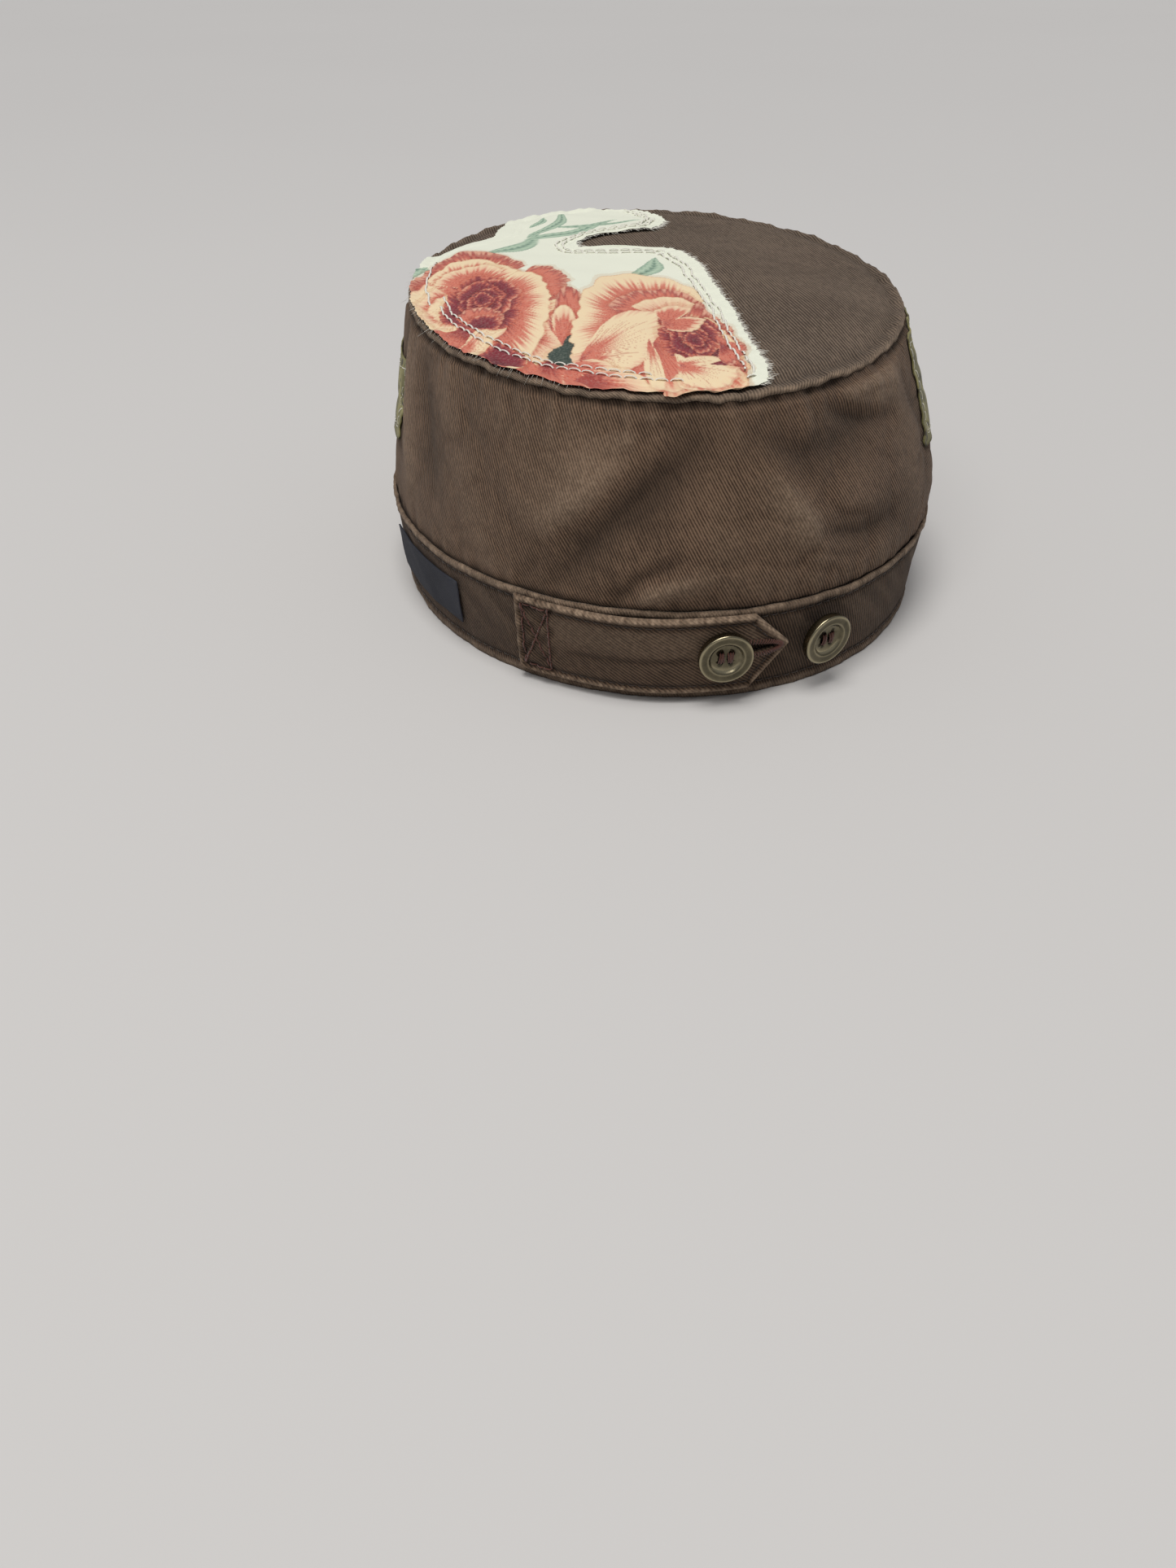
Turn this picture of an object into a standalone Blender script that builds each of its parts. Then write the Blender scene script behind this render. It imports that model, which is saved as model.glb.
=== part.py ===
"""Soft cadet cap with a buttoned rear tab and a printed cloth applique on its crown.

Frame: metres, +Z up. The visor points to -Y, the wearer's left is +X, and the cap stands on
z = 0 on the lower edge of its band. Angles run round the crown from +X, so 90 is the rear.
A depth is measured inwards from the visible face of the cloth, so a negative depth stands proud.
"""

import math

import bmesh
import bpy
from mathutils import Matrix, Vector

MM = 0.001

# Placing of the crown's axis, so that the whole cap is centred on the origin.
CROWN_Y = 18.8 * MM

# Band: half widths (x) and half lengths (y) of its outer face.
BAND_HALF_X = 85.3 * MM
BAND_HALF_Y = 103.0 * MM
BAND_FLARE = 3.0 * MM
BAND_HEIGHT = 28.5 * MM
ARCH_RISE = 13.0 * MM
ARCH_HALF_ANGLE = 65.0
FRONT_BAND_LIFT = 0.45

# Crown: the side wall slumps over the band, low down, and draws in to the top seam. It hangs
# full at the rear, front and right, is flat on the left, and its top leans to the left.
CROWN_BULGE = 3.1 * MM
CROWN_BULGE_LOW = 0.6
CROWN_DRAW_IN = 1.35
CROWN_LEFT_FLATNESS = 0.9
CROWN_LEAN = 2.5 * MM
SEAM_HALF_X = 76.0 * MM
SEAM_HALF_Y = 92.0 * MM
SEAM_HEIGHT = 84.5 * MM
SEAM_RISE_FORWARD = 0.062
TOP_DOME = 4.0 * MM
SIDE_SEAM_ANGLE = 20.0

# Cloth and trim thicknesses.
GAP = 0.3 * MM
BAND_CLOTH = 0.9 * MM
PANEL_CLOTH = 0.8 * MM
SWEATBAND_CLOTH = 0.8 * MM
APPLIQUE_CLOTH = 0.6 * MM
INTERLINING = 0.5 * MM
TAPE = 0.4 * MM
PANEL_TUCK = 0.10

# Visor.
VISOR_HALF_ANGLE = 62.0
VISOR_HALF_WIDTH = 78.0 * MM
VISOR_CORNER_Y = 50.4 * MM
VISOR_REACH = 98.6 * MM
VISOR_COVER = 0.7 * MM
VISOR_BOARD = 1.6 * MM
VISOR_EDGE_HEIGHT = 4.3 * MM
VISOR_EDGE_CAMBER = 4.0 * MM
VISOR_CROWNING = 1.6 * MM

# Rear tab, given as angles round the band and heights above its lower edge.
TAB_START = 53.5
TAB_FOLD = 61.0
TAB_STRAP_END = 86.4
STRAP_HALF_GAP = 0.12
TAB_SHOULDER = 97.3
TAB_POINT = 104.3
TAB_LOW = 3.0 * MM
TAB_HIGH = 27.4 * MM
TAB_POINT_HEIGHT = 16.4 * MM
TAB_CLOTH = 0.8 * MM
TAB_STAND_OFF = 0.5 * MM
TAB_SLACK = 0.9 * MM
FOLD_CLEARANCE = 0.9 * MM
FOLD_HALF_GAP = 0.3

# Buttonhole in the tab's tip.
HOLE_START = 89.2
HOLE_END = 102.3
HOLE_HALF_HEIGHT = 1.7 * MM
HOLE_STITCH_WIDTH = 1.3 * MM
HOLE_STITCH_THICKNESS = 0.4 * MM

# Buttons.
BUTTON_ANGLES = {"near": 91.9, "far": 111.1}
BUTTON_HEIGHT = 16.6 * MM
BUTTON_RADIUS = 7.7 * MM
BUTTON_SEAT = 3.4 * MM
BUTTON_DISH_RADIUS = 4.8 * MM
BUTTON_RECESS_RADIUS = 3.1 * MM
BUTTON_RECESS = 0.8 * MM
BUTTON_WEB_TOP = 1.9 * MM
BUTTON_RIM_TOP = 2.7 * MM
THREAD_HOLE_RADIUS = 0.85 * MM
THREAD_HOLE_OFFSET = 1.45 * MM
THREAD_RADIUS = 0.45 * MM
SHANK_RADIUS = 1.3 * MM
SHANK_KNOT_RADIUS = 2.5 * MM

# Colours (linear), roughness and metallic value of each material.
FINISHES = {
    "twill": ((0.088, 0.056, 0.038), 0.93, 0.0),
    "lining": ((0.060, 0.042, 0.031), 0.92, 0.0),
    "tape": ((0.055, 0.040, 0.030), 0.9, 0.0),
    "interlining": ((0.55, 0.52, 0.46), 0.9, 0.0),
    "visor_board": ((0.32, 0.30, 0.27), 0.6, 0.0),
    "rose_print": ((0.80, 0.60, 0.46), 0.9, 0.0),
    "olive_print": ((0.36, 0.31, 0.12), 0.9, 0.0),
    "label_cloth": ((0.012, 0.011, 0.016), 0.75, 0.0),
    "care_cloth": ((0.70, 0.69, 0.66), 0.6, 0.0),
    "antique_brass": ((0.20, 0.165, 0.095), 0.38, 1.0),
    "thread": ((0.10, 0.035, 0.022), 0.8, 0.0),
}


def clear_scene():
    for thing in list(bpy.data.objects):
        bpy.data.objects.remove(thing, do_unlink=True)


def finish(name):
    """Return the Principled material of a finish, made the first time it is asked for."""
    if name in bpy.data.materials:
        return bpy.data.materials[name]
    colour, roughness, metallic = FINISHES[name]
    material = bpy.data.materials.new(name)
    material.use_nodes = True
    shader = material.node_tree.nodes["Principled BSDF"]
    shader.inputs["Base Color"].default_value = (*colour, 1.0)
    shader.inputs["Roughness"].default_value = roughness
    shader.inputs["Metallic"].default_value = metallic
    material.diffuse_color = (*colour, 1.0)
    return material


def mix(start, end, share):
    return start + (end - start) * share


# ---------------------------------------------------------------- surfaces of the cap


def arch(angle):
    """Height of the band's lower edge: flat at the sides and rear, arched over the visor."""
    from_front = abs((angle + 270.0) % 360.0 - 180.0)
    if from_front >= ARCH_HALF_ANGLE:
        return 0.0
    return ARCH_RISE * math.cos(math.radians(90.0 * from_front / ARCH_HALF_ANGLE)) ** 2


def band_top(angle):
    return BAND_HEIGHT + FRONT_BAND_LIFT * arch(angle)


def on_ellipse(angle, half_x, half_y, height, lean=0.0):
    turn = math.radians(angle)
    return Vector((
        lean + half_x * math.cos(turn), CROWN_Y + half_y * math.sin(turn), height))


def band_at_height(angle, height, depth):
    flare = BAND_FLARE * height / BAND_HEIGHT - depth
    return on_ellipse(angle, BAND_HALF_X + flare, BAND_HALF_Y + flare, height)


def band_point(angle, lift, depth):
    """A point on the band: lift is 0 at its lower edge and 1 at its upper edge."""
    return band_at_height(angle, mix(arch(angle), band_top(angle), lift), depth)


def band_frame(angle, height):
    """Matrix at a point of the band's face: X along the band, Y up it, Z outwards."""
    here = band_at_height(angle, height, 0.0)
    along = (band_at_height(angle + 0.1, height, 0.0) - here).normalized()
    upward = (band_at_height(angle, height + MM, 0.0) - here).normalized()
    outward = upward.cross(along).normalized()
    if outward.dot(here - Vector((0.0, CROWN_Y, height))) < 0.0:
        outward.negate()
    across = upward.cross(outward)
    turn = Matrix((across, upward, outward)).transposed()
    return Matrix.Translation(here) @ turn.to_4x4()


def seam_height(y):
    return SEAM_HEIGHT - SEAM_RISE_FORWARD * (y - CROWN_Y)


def crown_point(angle, rise, depth):
    """A point on the crown's side wall: rise is 0 at the band's top and 1 at the top seam."""
    edge_y = CROWN_Y + SEAM_HALF_Y * math.sin(math.radians(angle))
    height = mix(band_top(angle), seam_height(edge_y), rise)
    tuck = BAND_CLOTH + GAP
    if rise <= 0.0:
        return band_at_height(angle, height, tuck + depth)
    foot = BAND_FLARE * band_top(angle) / BAND_HEIGHT - tuck
    draw_in = rise ** CROWN_DRAW_IN
    left = max(0.0, math.cos(math.radians(angle)))
    fullness = 1.0 - CROWN_LEFT_FLATNESS * left ** 2
    bulge = CROWN_BULGE * fullness * math.sin(math.pi * rise ** CROWN_BULGE_LOW)
    half_x = mix(BAND_HALF_X + foot, SEAM_HALF_X, draw_in) + bulge - depth
    half_y = mix(BAND_HALF_Y + foot, SEAM_HALF_Y, draw_in) + bulge - depth
    return on_ellipse(angle, half_x, half_y, height, CROWN_LEAN * rise)


def top_point(x, y, depth):
    """A point on the top panel at a plan position measured from the top seam's centre."""
    ring = (x / SEAM_HALF_X) ** 2 + (y / SEAM_HALF_Y) ** 2
    height = seam_height(y + CROWN_Y) + GAP + PANEL_CLOTH + TOP_DOME * (1.0 - ring)
    return Vector((x + CROWN_LEAN, y + CROWN_Y, height - depth))


def visor_point(across, out, depth):
    """A point on the visor: across is -1 to 1, out is 0 at the band and 1 at its edge."""
    angle = 270.0 + VISOR_HALF_ANGLE * across
    stack = 2.0 * VISOR_COVER + VISOR_BOARD + 3.0 * GAP
    root_height = arch(angle) + stack + 2.0 * GAP
    root = band_at_height(angle, root_height, -GAP)
    swing = math.radians(90.0 * across)
    edge = Vector((
        VISOR_HALF_WIDTH * math.sin(swing),
        CROWN_Y - VISOR_CORNER_Y - VISOR_REACH * math.cos(swing),
        VISOR_EDGE_HEIGHT + VISOR_EDGE_CAMBER * math.cos(swing) ** 2))
    point = root.lerp(edge, out)
    point.z += VISOR_CROWNING * math.sin(math.pi * out) * math.cos(swing) - depth
    return point


def tab_stand_off(angle):
    """How far the tab's back stands off the band: it is slack between its fold and button."""
    share = (angle - TAB_FOLD) / (BUTTON_ANGLES["near"] - TAB_FOLD)
    if not 0.0 < share < 1.0:
        return TAB_STAND_OFF
    return TAB_STAND_OFF + TAB_SLACK * math.sin(math.pi * share) ** 2


def tab_point(angle, share, depth):
    """A point on the tab: share is 0 at its lower edge and 1 at its upper edge."""
    taper = max(0.0, (angle - TAB_SHOULDER) / (TAB_POINT - TAB_SHOULDER))
    low = mix(TAB_LOW, TAB_POINT_HEIGHT - 0.6 * MM, taper)
    high = mix(TAB_HIGH, TAB_POINT_HEIGHT + 0.6 * MM, taper)
    outside = tab_stand_off(angle) + 2.0 * TAB_CLOTH + GAP
    return band_at_height(angle, mix(low, high, share), depth - outside)


# ---------------------------------------------------------------- making cloth solids


def grid_sheet(columns, rows):
    """A flat grid in the unit square, each vertex keeping its place in two number layers."""
    mesh = bmesh.new()
    bmesh.ops.create_grid(mesh, x_segments=columns, y_segments=rows, size=0.5)
    across = mesh.verts.layers.float.new("across")
    along = mesh.verts.layers.float.new("along")
    for vert in mesh.verts:
        vert[across] = vert.co.x + 0.5
        vert[along] = vert.co.y + 0.5
    return mesh


def thicken(mesh, place, near, far):
    """Lay the sheet on its surface and extrude it through the cloth's thickness."""
    across = mesh.verts.layers.float["across"]
    along = mesh.verts.layers.float["along"]
    for vert in mesh.verts:
        vert.co = place(vert[across], vert[along], near)
    bmesh.ops.remove_doubles(mesh, verts=mesh.verts, dist=0.00001)
    sheet = list(mesh.faces)
    back = bmesh.ops.extrude_face_region(mesh, geom=sheet, use_keep_orig=True)
    for part in back["geom"]:
        if isinstance(part, bmesh.types.BMVert):
            part.co = place(part[across], part[along], far)
    bmesh.ops.recalc_face_normals(mesh, faces=mesh.faces)
    if mesh.calc_volume(signed=True) < 0.0:
        bmesh.ops.reverse_faces(mesh, faces=mesh.faces)


def to_object(name, mesh, finish_name, parent=None):
    """Make the node's object; a child keeps its place in the world under its parent empty."""
    data = bpy.data.meshes.new(name)
    mesh.to_mesh(data)
    mesh.free()
    data.materials.append(finish(finish_name))
    piece = bpy.data.objects.new(name, data)
    bpy.context.scene.collection.objects.link(piece)
    if parent is not None:
        piece.parent = parent
    return piece


def cloth(name, finish_name, columns, rows, place, near, far, parent=None):
    """A piece of cloth: place(across, along, depth) with both in 0 to 1, near its face depth."""
    mesh = grid_sheet(columns, rows)
    thicken(mesh, place, near, far)
    if parent is not None:
        bmesh.ops.translate(mesh, verts=mesh.verts, vec=-parent.location)
    return to_object(name, mesh, finish_name, parent)


def wall_patch(surface, start, end, low, high):
    """A place function for a stretch of a wall between two angles and two heights."""
    def place(across, along, depth):
        return surface(mix(start, end, across), mix(low, high, along), depth)
    return place


def joint_empty(name, location):
    empty = bpy.data.objects.new(name, None)
    empty.empty_display_size = 0.01
    empty.location = location
    bpy.context.scene.collection.objects.link(empty)
    return empty


# ---------------------------------------------------------------- crown and band


def make_top_panel():
    def place(across, along, depth):
        turn = 2.0 * math.pi * across
        return top_point(
            SEAM_HALF_X * along * math.cos(turn),
            SEAM_HALF_Y * along * math.sin(turn), depth)
    cloth("top_panel", "twill", 72, 6, place, 0.0, PANEL_CLOTH)


def make_side_panels():
    half_gap = 0.15
    back = wall_patch(
        crown_point, -SIDE_SEAM_ANGLE + half_gap, 180.0 + SIDE_SEAM_ANGLE - half_gap,
        -PANEL_TUCK, 1.0)
    front = wall_patch(
        crown_point, 180.0 + SIDE_SEAM_ANGLE + half_gap, 360.0 - SIDE_SEAM_ANGLE - half_gap,
        -PANEL_TUCK, 1.0)
    cloth("back_panel", "twill", 54, 11, back, 0.0, PANEL_CLOTH)
    cloth("front_panel", "twill", 38, 11, front, 0.0, PANEL_CLOTH)


def make_crown_linings():
    near = PANEL_CLOTH + 1.5 * GAP
    low, high = 0.16, 0.80
    ring = wall_patch(crown_point, 0.0, 360.0, 0.84, 0.96)
    cloth("crown_seam_tape", "tape", 72, 1, ring, near + GAP, near + GAP + TAPE)
    stiffener = wall_patch(
        crown_point, 187.0 + SIDE_SEAM_ANGLE, 353.0 - SIDE_SEAM_ANGLE, low, high)
    cloth("front_interlining", "interlining", 32, 6, stiffener, near, near + INTERLINING)
    seams = {"left": -SIDE_SEAM_ANGLE, "right": 180.0 + SIDE_SEAM_ANGLE}
    for side, angle in seams.items():
        strip = wall_patch(crown_point, angle - 3.0, angle + 3.0, low, high)
        cloth(side + "_side_seam_tape", "tape", 2, 6, strip, near, near + TAPE)


def make_band():
    ring = wall_patch(band_point, 0.0, 360.0, 0.0, 1.0)
    cloth("outer_band", "twill", 96, 2, ring, 0.0, BAND_CLOTH)
    near = BAND_CLOTH + PANEL_CLOTH + 2.0 * GAP
    inner_ring = wall_patch(band_point, 0.0, 360.0, 0.04, 0.93)
    cloth("sweatband", "lining", 96, 1, inner_ring, near, near + SWEATBAND_CLOTH)
    label_near = near + SWEATBAND_CLOTH + GAP
    care = wall_patch(band_at_height, 84.0, 97.0, 4.0 * MM, 24.0 * MM)
    cloth("care_label", "care_cloth", 4, 1, care, label_near, label_near + GAP)
    side = wall_patch(band_at_height, 12.0, 38.8, 8.4 * MM, 22.1 * MM)
    cloth("side_label", "label_cloth", 8, 1, side, -GAP - 0.5 * MM, -GAP)


# ---------------------------------------------------------------- visor


def make_visor():
    def place(across, along, depth):
        return visor_point(2.0 * across - 1.0, along, depth)
    board = VISOR_COVER + GAP
    under = board + VISOR_BOARD + GAP
    cloth("visor_top_cover", "twill", 28, 5, place, 0.0, VISOR_COVER)
    cloth("visor_board", "visor_board", 28, 5, place, board, board + VISOR_BOARD)
    cloth("visor_under_cover", "twill", 28, 5, place, under, under + VISOR_COVER)


# ---------------------------------------------------------------- appliques

# The crown applique's free edge, from the front of the cap to its rear: y and x in mm from the
# top seam's centre. Its other edge follows the top seam.
APPLIQUE_FREE_EDGE = (
    (-89.0, -1.0), (-80.0, -9.0), (-70.0, -13.5), (-63.0, -14.0), (-55.0, -11.5),
    (-47.0, -7.0), (-43.0, 2.5), (-41.0, 13.5), (-36.0, 20.5), (-29.0, 20.5),
    (-25.5, 16.0), (-24.5, 4.0), (-23.5, -6.0), (-19.0, -11.0), (-10.0, -13.0),
    (-2.0, -15.0), (15.0, -15.8), (36.0, -18.0), (60.0, -17.8), (78.0, -18.8),
    (83.0, -18.0), (87.0, -14.0))
APPLIQUE_SEAM_MARGIN = 1.2 * MM


def make_crown_applique():
    last = len(APPLIQUE_FREE_EDGE) - 1

    def place(across, along, depth):
        y, x = APPLIQUE_FREE_EDGE[round(along * last)]
        y, x = y * MM, x * MM
        seam_x = SEAM_HALF_X * math.sqrt(1.0 - (y / SEAM_HALF_Y) ** 2) - APPLIQUE_SEAM_MARGIN
        return top_point(mix(x, seam_x, across), y, depth)
    cloth("crown_applique", "rose_print", 9, last, place, -GAP - APPLIQUE_CLOTH, -GAP)


def make_wall_appliques():
    near, far = -GAP - APPLIQUE_CLOTH, -GAP
    right = wall_patch(crown_point, 151.0, 212.0, 0.40, 0.95)
    left = wall_patch(crown_point, -46.0, 6.5, 0.30, 0.72)
    front = wall_patch(crown_point, 250.0, 296.0, 0.38, 0.97)
    cloth("right_side_applique", "olive_print", 16, 5, right, near, far)
    cloth("left_side_applique", "olive_print", 14, 4, left, near, far)
    cloth("front_applique", "rose_print", 12, 5, front, near, far)


# ---------------------------------------------------------------- rear tab


def tab_ply_depths():
    """Depths of the face ply and of the backing ply, from the tab's visible face."""
    backing = TAB_CLOTH + GAP
    return {"face": (0.0, TAB_CLOTH), "backing": (backing, backing + TAB_CLOTH)}


def hinge_location():
    """The fold line: a vertical axis just outside the tab's face at the end of its sewn box."""
    outside = TAB_STAND_OFF + 2.0 * TAB_CLOTH + GAP + FOLD_CLEARANCE
    return band_at_height(TAB_FOLD, 0.5 * (TAB_LOW + TAB_HIGH), -outside)


def make_tab(hinge):
    sewn = wall_patch(tab_point, TAB_START, TAB_FOLD - FOLD_HALF_GAP, 0.0, 1.0)
    strap = wall_patch(
        tab_point, TAB_FOLD + FOLD_HALF_GAP, TAB_STRAP_END - STRAP_HALF_GAP, 0.0, 1.0)
    for ply, (near, far) in tab_ply_depths().items():
        cloth("tab_sewn_" + ply, "twill", 3, 2, sewn, near, far)
        cloth("tab_strap_" + ply, "twill", 12, 2, strap, near, far, hinge)
        make_tab_tip(ply, near, far, hinge)


def tip_angle(across):
    """Columns of the tip, crowded at the shoulder and along the buttonhole."""
    before, after = TAB_STRAP_END + STRAP_HALF_GAP, TAB_SHOULDER + 2.4
    stops = (before, 87.8, HOLE_START, 92.4, 95.0, TAB_SHOULDER, after, HOLE_END, TAB_POINT)
    return stops[round(across * (len(stops) - 1))]


def tip_height(along):
    """Rows of the tip as a height: its lower edge, the slit's two edges, its upper edge."""
    slit = 2.0 * HOLE_HALF_HEIGHT
    stops = (None, BUTTON_HEIGHT - 0.5 * slit, BUTTON_HEIGHT + 0.5 * slit, None)
    return stops[round(along * (len(stops) - 1))]


def tip_point(across, along, depth):
    angle = tip_angle(across)
    height = tip_height(along)
    if height is None:
        return tab_point(angle, round(along), depth)
    low = tab_point(angle, 0.0, depth)
    high = tab_point(angle, 1.0, depth)
    span = (high.z - low.z)
    share = min(0.75, max(0.25, (height - low.z) / span))
    return tab_point(angle, share, depth)


def make_tab_tip(ply, near, far, hinge):
    """The pointed end: the cells of the slit are taken out of its grid before it is thick."""
    mesh = grid_sheet(8, 3)
    slit = []
    for face in mesh.faces:
        middle = face.calc_center_median()
        column = int((middle.x + 0.5) * 8)
        row = int((middle.y + 0.5) * 3)
        if row == 1 and 2 <= column <= 6:
            slit.append(face)
    bmesh.ops.delete(mesh, geom=slit, context="FACES")
    thicken(mesh, tip_point, near, far)
    bmesh.ops.translate(mesh, verts=mesh.verts, vec=-hinge.location)
    to_object("tab_tip_" + ply, mesh, "twill", hinge)


def make_buttonhole_stitching(hinge):
    """An oval ring of thread round the slit, lying on the tip's face."""
    middle = 0.5 * (HOLE_START + HOLE_END)
    half_angle = 0.5 * (HOLE_END - HOLE_START) + 0.2
    half_length = math.radians(half_angle) * BAND_HALF_X

    def place(across, along, depth):
        turn = 2.0 * math.pi * across
        grow = mix(0.0, HOLE_STITCH_WIDTH, along)
        angle = middle + half_angle * math.cos(turn) * (1.0 + grow / half_length)
        height = BUTTON_HEIGHT + (HOLE_HALF_HEIGHT + 0.4 * MM + grow) * math.sin(turn)
        outside = tab_stand_off(angle) + 2.0 * TAB_CLOTH + GAP
        return band_at_height(angle, height, depth - outside)
    cloth("buttonhole_stitching", "thread", 28, 1, place,
          -GAP - HOLE_STITCH_THICKNESS, -GAP, hinge)


# ---------------------------------------------------------------- buttons


def turned(profile, segments):
    """A closed turned solid from a profile of (radius, height), first and last on the axis."""
    mesh = bmesh.new()
    verts = [mesh.verts.new((radius, 0.0, height)) for radius, height in profile]
    edges = [mesh.edges.new(pair) for pair in zip(verts, verts[1:])]
    bmesh.ops.spin(
        mesh, geom=verts + edges, cent=(0.0, 0.0, 0.0), axis=(0.0, 0.0, 1.0),
        angle=2.0 * math.pi, steps=segments, use_merge=True, use_duplicate=False)
    bmesh.ops.remove_doubles(mesh, verts=mesh.verts, dist=0.00001)
    bmesh.ops.recalc_face_normals(mesh, faces=mesh.faces)
    return mesh


def cylinder(radius, low, high, x=0.0, y=0.0, segments=12):
    mesh = bmesh.new()
    bmesh.ops.create_cone(
        mesh, cap_ends=True, segments=segments, radius1=radius, radius2=radius,
        depth=high - low,
        matrix=Matrix.Translation((x, y, 0.5 * (low + high))))
    return mesh


def boolean(piece, other, operation):
    """Join or cut with another object, which stays only as a wire guide."""
    step = piece.modifiers.new(operation.lower() + "_" + other.name, "BOOLEAN")
    step.operation = operation
    step.solver = "EXACT"
    step.object = other
    other.hide_render = True
    other.display_type = "WIRE"


def guide(name, mesh, parent):
    return to_object(name, mesh, "thread", parent)


def thread_corners():
    for x in (-THREAD_HOLE_OFFSET, THREAD_HOLE_OFFSET):
        for y in (-THREAD_HOLE_OFFSET, THREAD_HOLE_OFFSET):
            yield x, y


def make_button(side, empty):
    """A four-hole stamped button with a raised rim and a dished middle."""
    rim = BUTTON_RADIUS
    dish = BUTTON_DISH_RADIUS
    recess = BUTTON_RECESS_RADIUS
    profile = (
        (0.0, BUTTON_SEAT + BUTTON_RECESS),
        (recess, BUTTON_SEAT + BUTTON_RECESS),
        (recess + 0.2 * MM, BUTTON_SEAT),
        (rim - 0.7 * MM, BUTTON_SEAT),
        (rim, BUTTON_SEAT + 0.7 * MM),
        (rim, BUTTON_SEAT + BUTTON_RIM_TOP - 0.7 * MM),
        (rim - 0.6 * MM, BUTTON_SEAT + BUTTON_RIM_TOP),
        (dish + 0.9 * MM, BUTTON_SEAT + BUTTON_RIM_TOP),
        (dish, BUTTON_SEAT + BUTTON_WEB_TOP + 0.2 * MM),
        (dish - 0.8 * MM, BUTTON_SEAT + BUTTON_WEB_TOP),
        (0.0, BUTTON_SEAT + BUTTON_WEB_TOP))
    button = to_object(side + "_button", turned(profile, 32), "antique_brass", empty)
    for number, (x, y) in enumerate(thread_corners()):
        hole = cylinder(THREAD_HOLE_RADIUS, BUTTON_SEAT - MM, BUTTON_SEAT + 4.0 * MM, x, y)
        boolean(button, guide("%s_hole_%d" % (side, number), hole, empty), "DIFFERENCE")


def make_button_thread(side, empty):
    """The sewing thread: a shank, a knot in the button's back, four legs and two top bars."""
    knot_low = BUTTON_SEAT + 0.1 * MM
    knot_high = BUTTON_SEAT + BUTTON_RECESS - GAP
    bar_low = BUTTON_SEAT + BUTTON_WEB_TOP + GAP
    profile = (
        (0.0, GAP), (SHANK_RADIUS, GAP), (SHANK_RADIUS, knot_low),
        (SHANK_KNOT_RADIUS, knot_low), (SHANK_KNOT_RADIUS, knot_high), (0.0, knot_high))
    thread = to_object(side + "_button_thread", turned(profile, 20), "thread", empty)
    for number, (x, y) in enumerate(thread_corners()):
        leg = cylinder(THREAD_RADIUS, knot_high - 0.2 * MM, bar_low + 0.3 * MM, x, y, 8)
        boolean(thread, guide("%s_leg_%d" % (side, number), leg, empty), "UNION")
    for number, x in enumerate((-THREAD_HOLE_OFFSET, THREAD_HOLE_OFFSET)):
        bar = bmesh.new()
        bmesh.ops.create_cube(bar, size=1.0)
        width = 2.0 * THREAD_RADIUS + 0.1 * MM
        length = 2.0 * THREAD_HOLE_OFFSET + width
        bmesh.ops.scale(bar, verts=bar.verts, vec=(width, length, 0.6 * MM))
        bmesh.ops.translate(bar, verts=bar.verts, vec=(x, 0.0, bar_low + 0.3 * MM))
        boolean(thread, guide("%s_bar_%d" % (side, number), bar, empty), "UNION")


def make_buttons():
    for side, angle in BUTTON_ANGLES.items():
        empty = joint_empty(side + "_button_axis", (0.0, 0.0, 0.0))
        empty.matrix_world = band_frame(angle, BUTTON_HEIGHT)
        make_button(side, empty)
        make_button_thread(side, empty)


def main():
    clear_scene()
    make_top_panel()
    make_side_panels()
    make_crown_linings()
    make_band()
    make_visor()
    make_crown_applique()
    make_wall_appliques()
    hinge = joint_empty("tab_fold_axis", hinge_location())
    make_tab(hinge)
    make_buttonhole_stitching(hinge)
    make_buttons()


main()
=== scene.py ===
"""Cloth, trim, stitching and finishes of a soft cadet cap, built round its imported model.

Frame: metres, +Z up, visor to -Y, wearer's left to +X, standing on z = 0. Angles run round the
crown in degrees from +X, so 90 is the rear. A depth is measured inwards from the visible face of
the cloth, so a negative depth stands proud. Surface functions take and return whole arrays.
"""

import math

import bmesh
import bpy
import numpy as np
from bpy.props import FloatProperty, FloatVectorProperty, PointerProperty
from mathutils import Matrix, Vector


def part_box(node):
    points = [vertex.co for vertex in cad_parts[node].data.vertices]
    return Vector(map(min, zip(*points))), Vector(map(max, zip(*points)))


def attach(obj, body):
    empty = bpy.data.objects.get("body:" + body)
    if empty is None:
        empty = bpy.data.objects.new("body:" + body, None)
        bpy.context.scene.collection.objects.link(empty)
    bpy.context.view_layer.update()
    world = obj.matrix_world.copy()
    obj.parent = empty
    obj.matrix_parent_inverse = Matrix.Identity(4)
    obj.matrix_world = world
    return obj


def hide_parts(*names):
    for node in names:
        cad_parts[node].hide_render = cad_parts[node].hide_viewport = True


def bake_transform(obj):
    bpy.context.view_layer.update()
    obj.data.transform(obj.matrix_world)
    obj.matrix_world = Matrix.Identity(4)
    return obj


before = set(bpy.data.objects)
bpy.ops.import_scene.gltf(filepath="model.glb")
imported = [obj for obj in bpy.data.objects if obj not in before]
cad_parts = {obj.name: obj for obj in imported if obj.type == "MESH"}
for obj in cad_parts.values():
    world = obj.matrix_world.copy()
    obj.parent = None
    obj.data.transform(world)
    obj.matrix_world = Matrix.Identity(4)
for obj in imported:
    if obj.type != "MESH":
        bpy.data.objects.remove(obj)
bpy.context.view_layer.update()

bl_info = {
    "name": "Cadet Cap Maker",
    "version": (1, 0, 0),
    "blender": (4, 5, 0),
    "location": "3D View > Sidebar > Cap",
    "description": "Makes the cloth, stitching, buttons and print of a soft cadet cap",
    "category": "Object",
}

MM = 0.001

# ---------------------------------------------------------------- driving sizes

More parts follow.
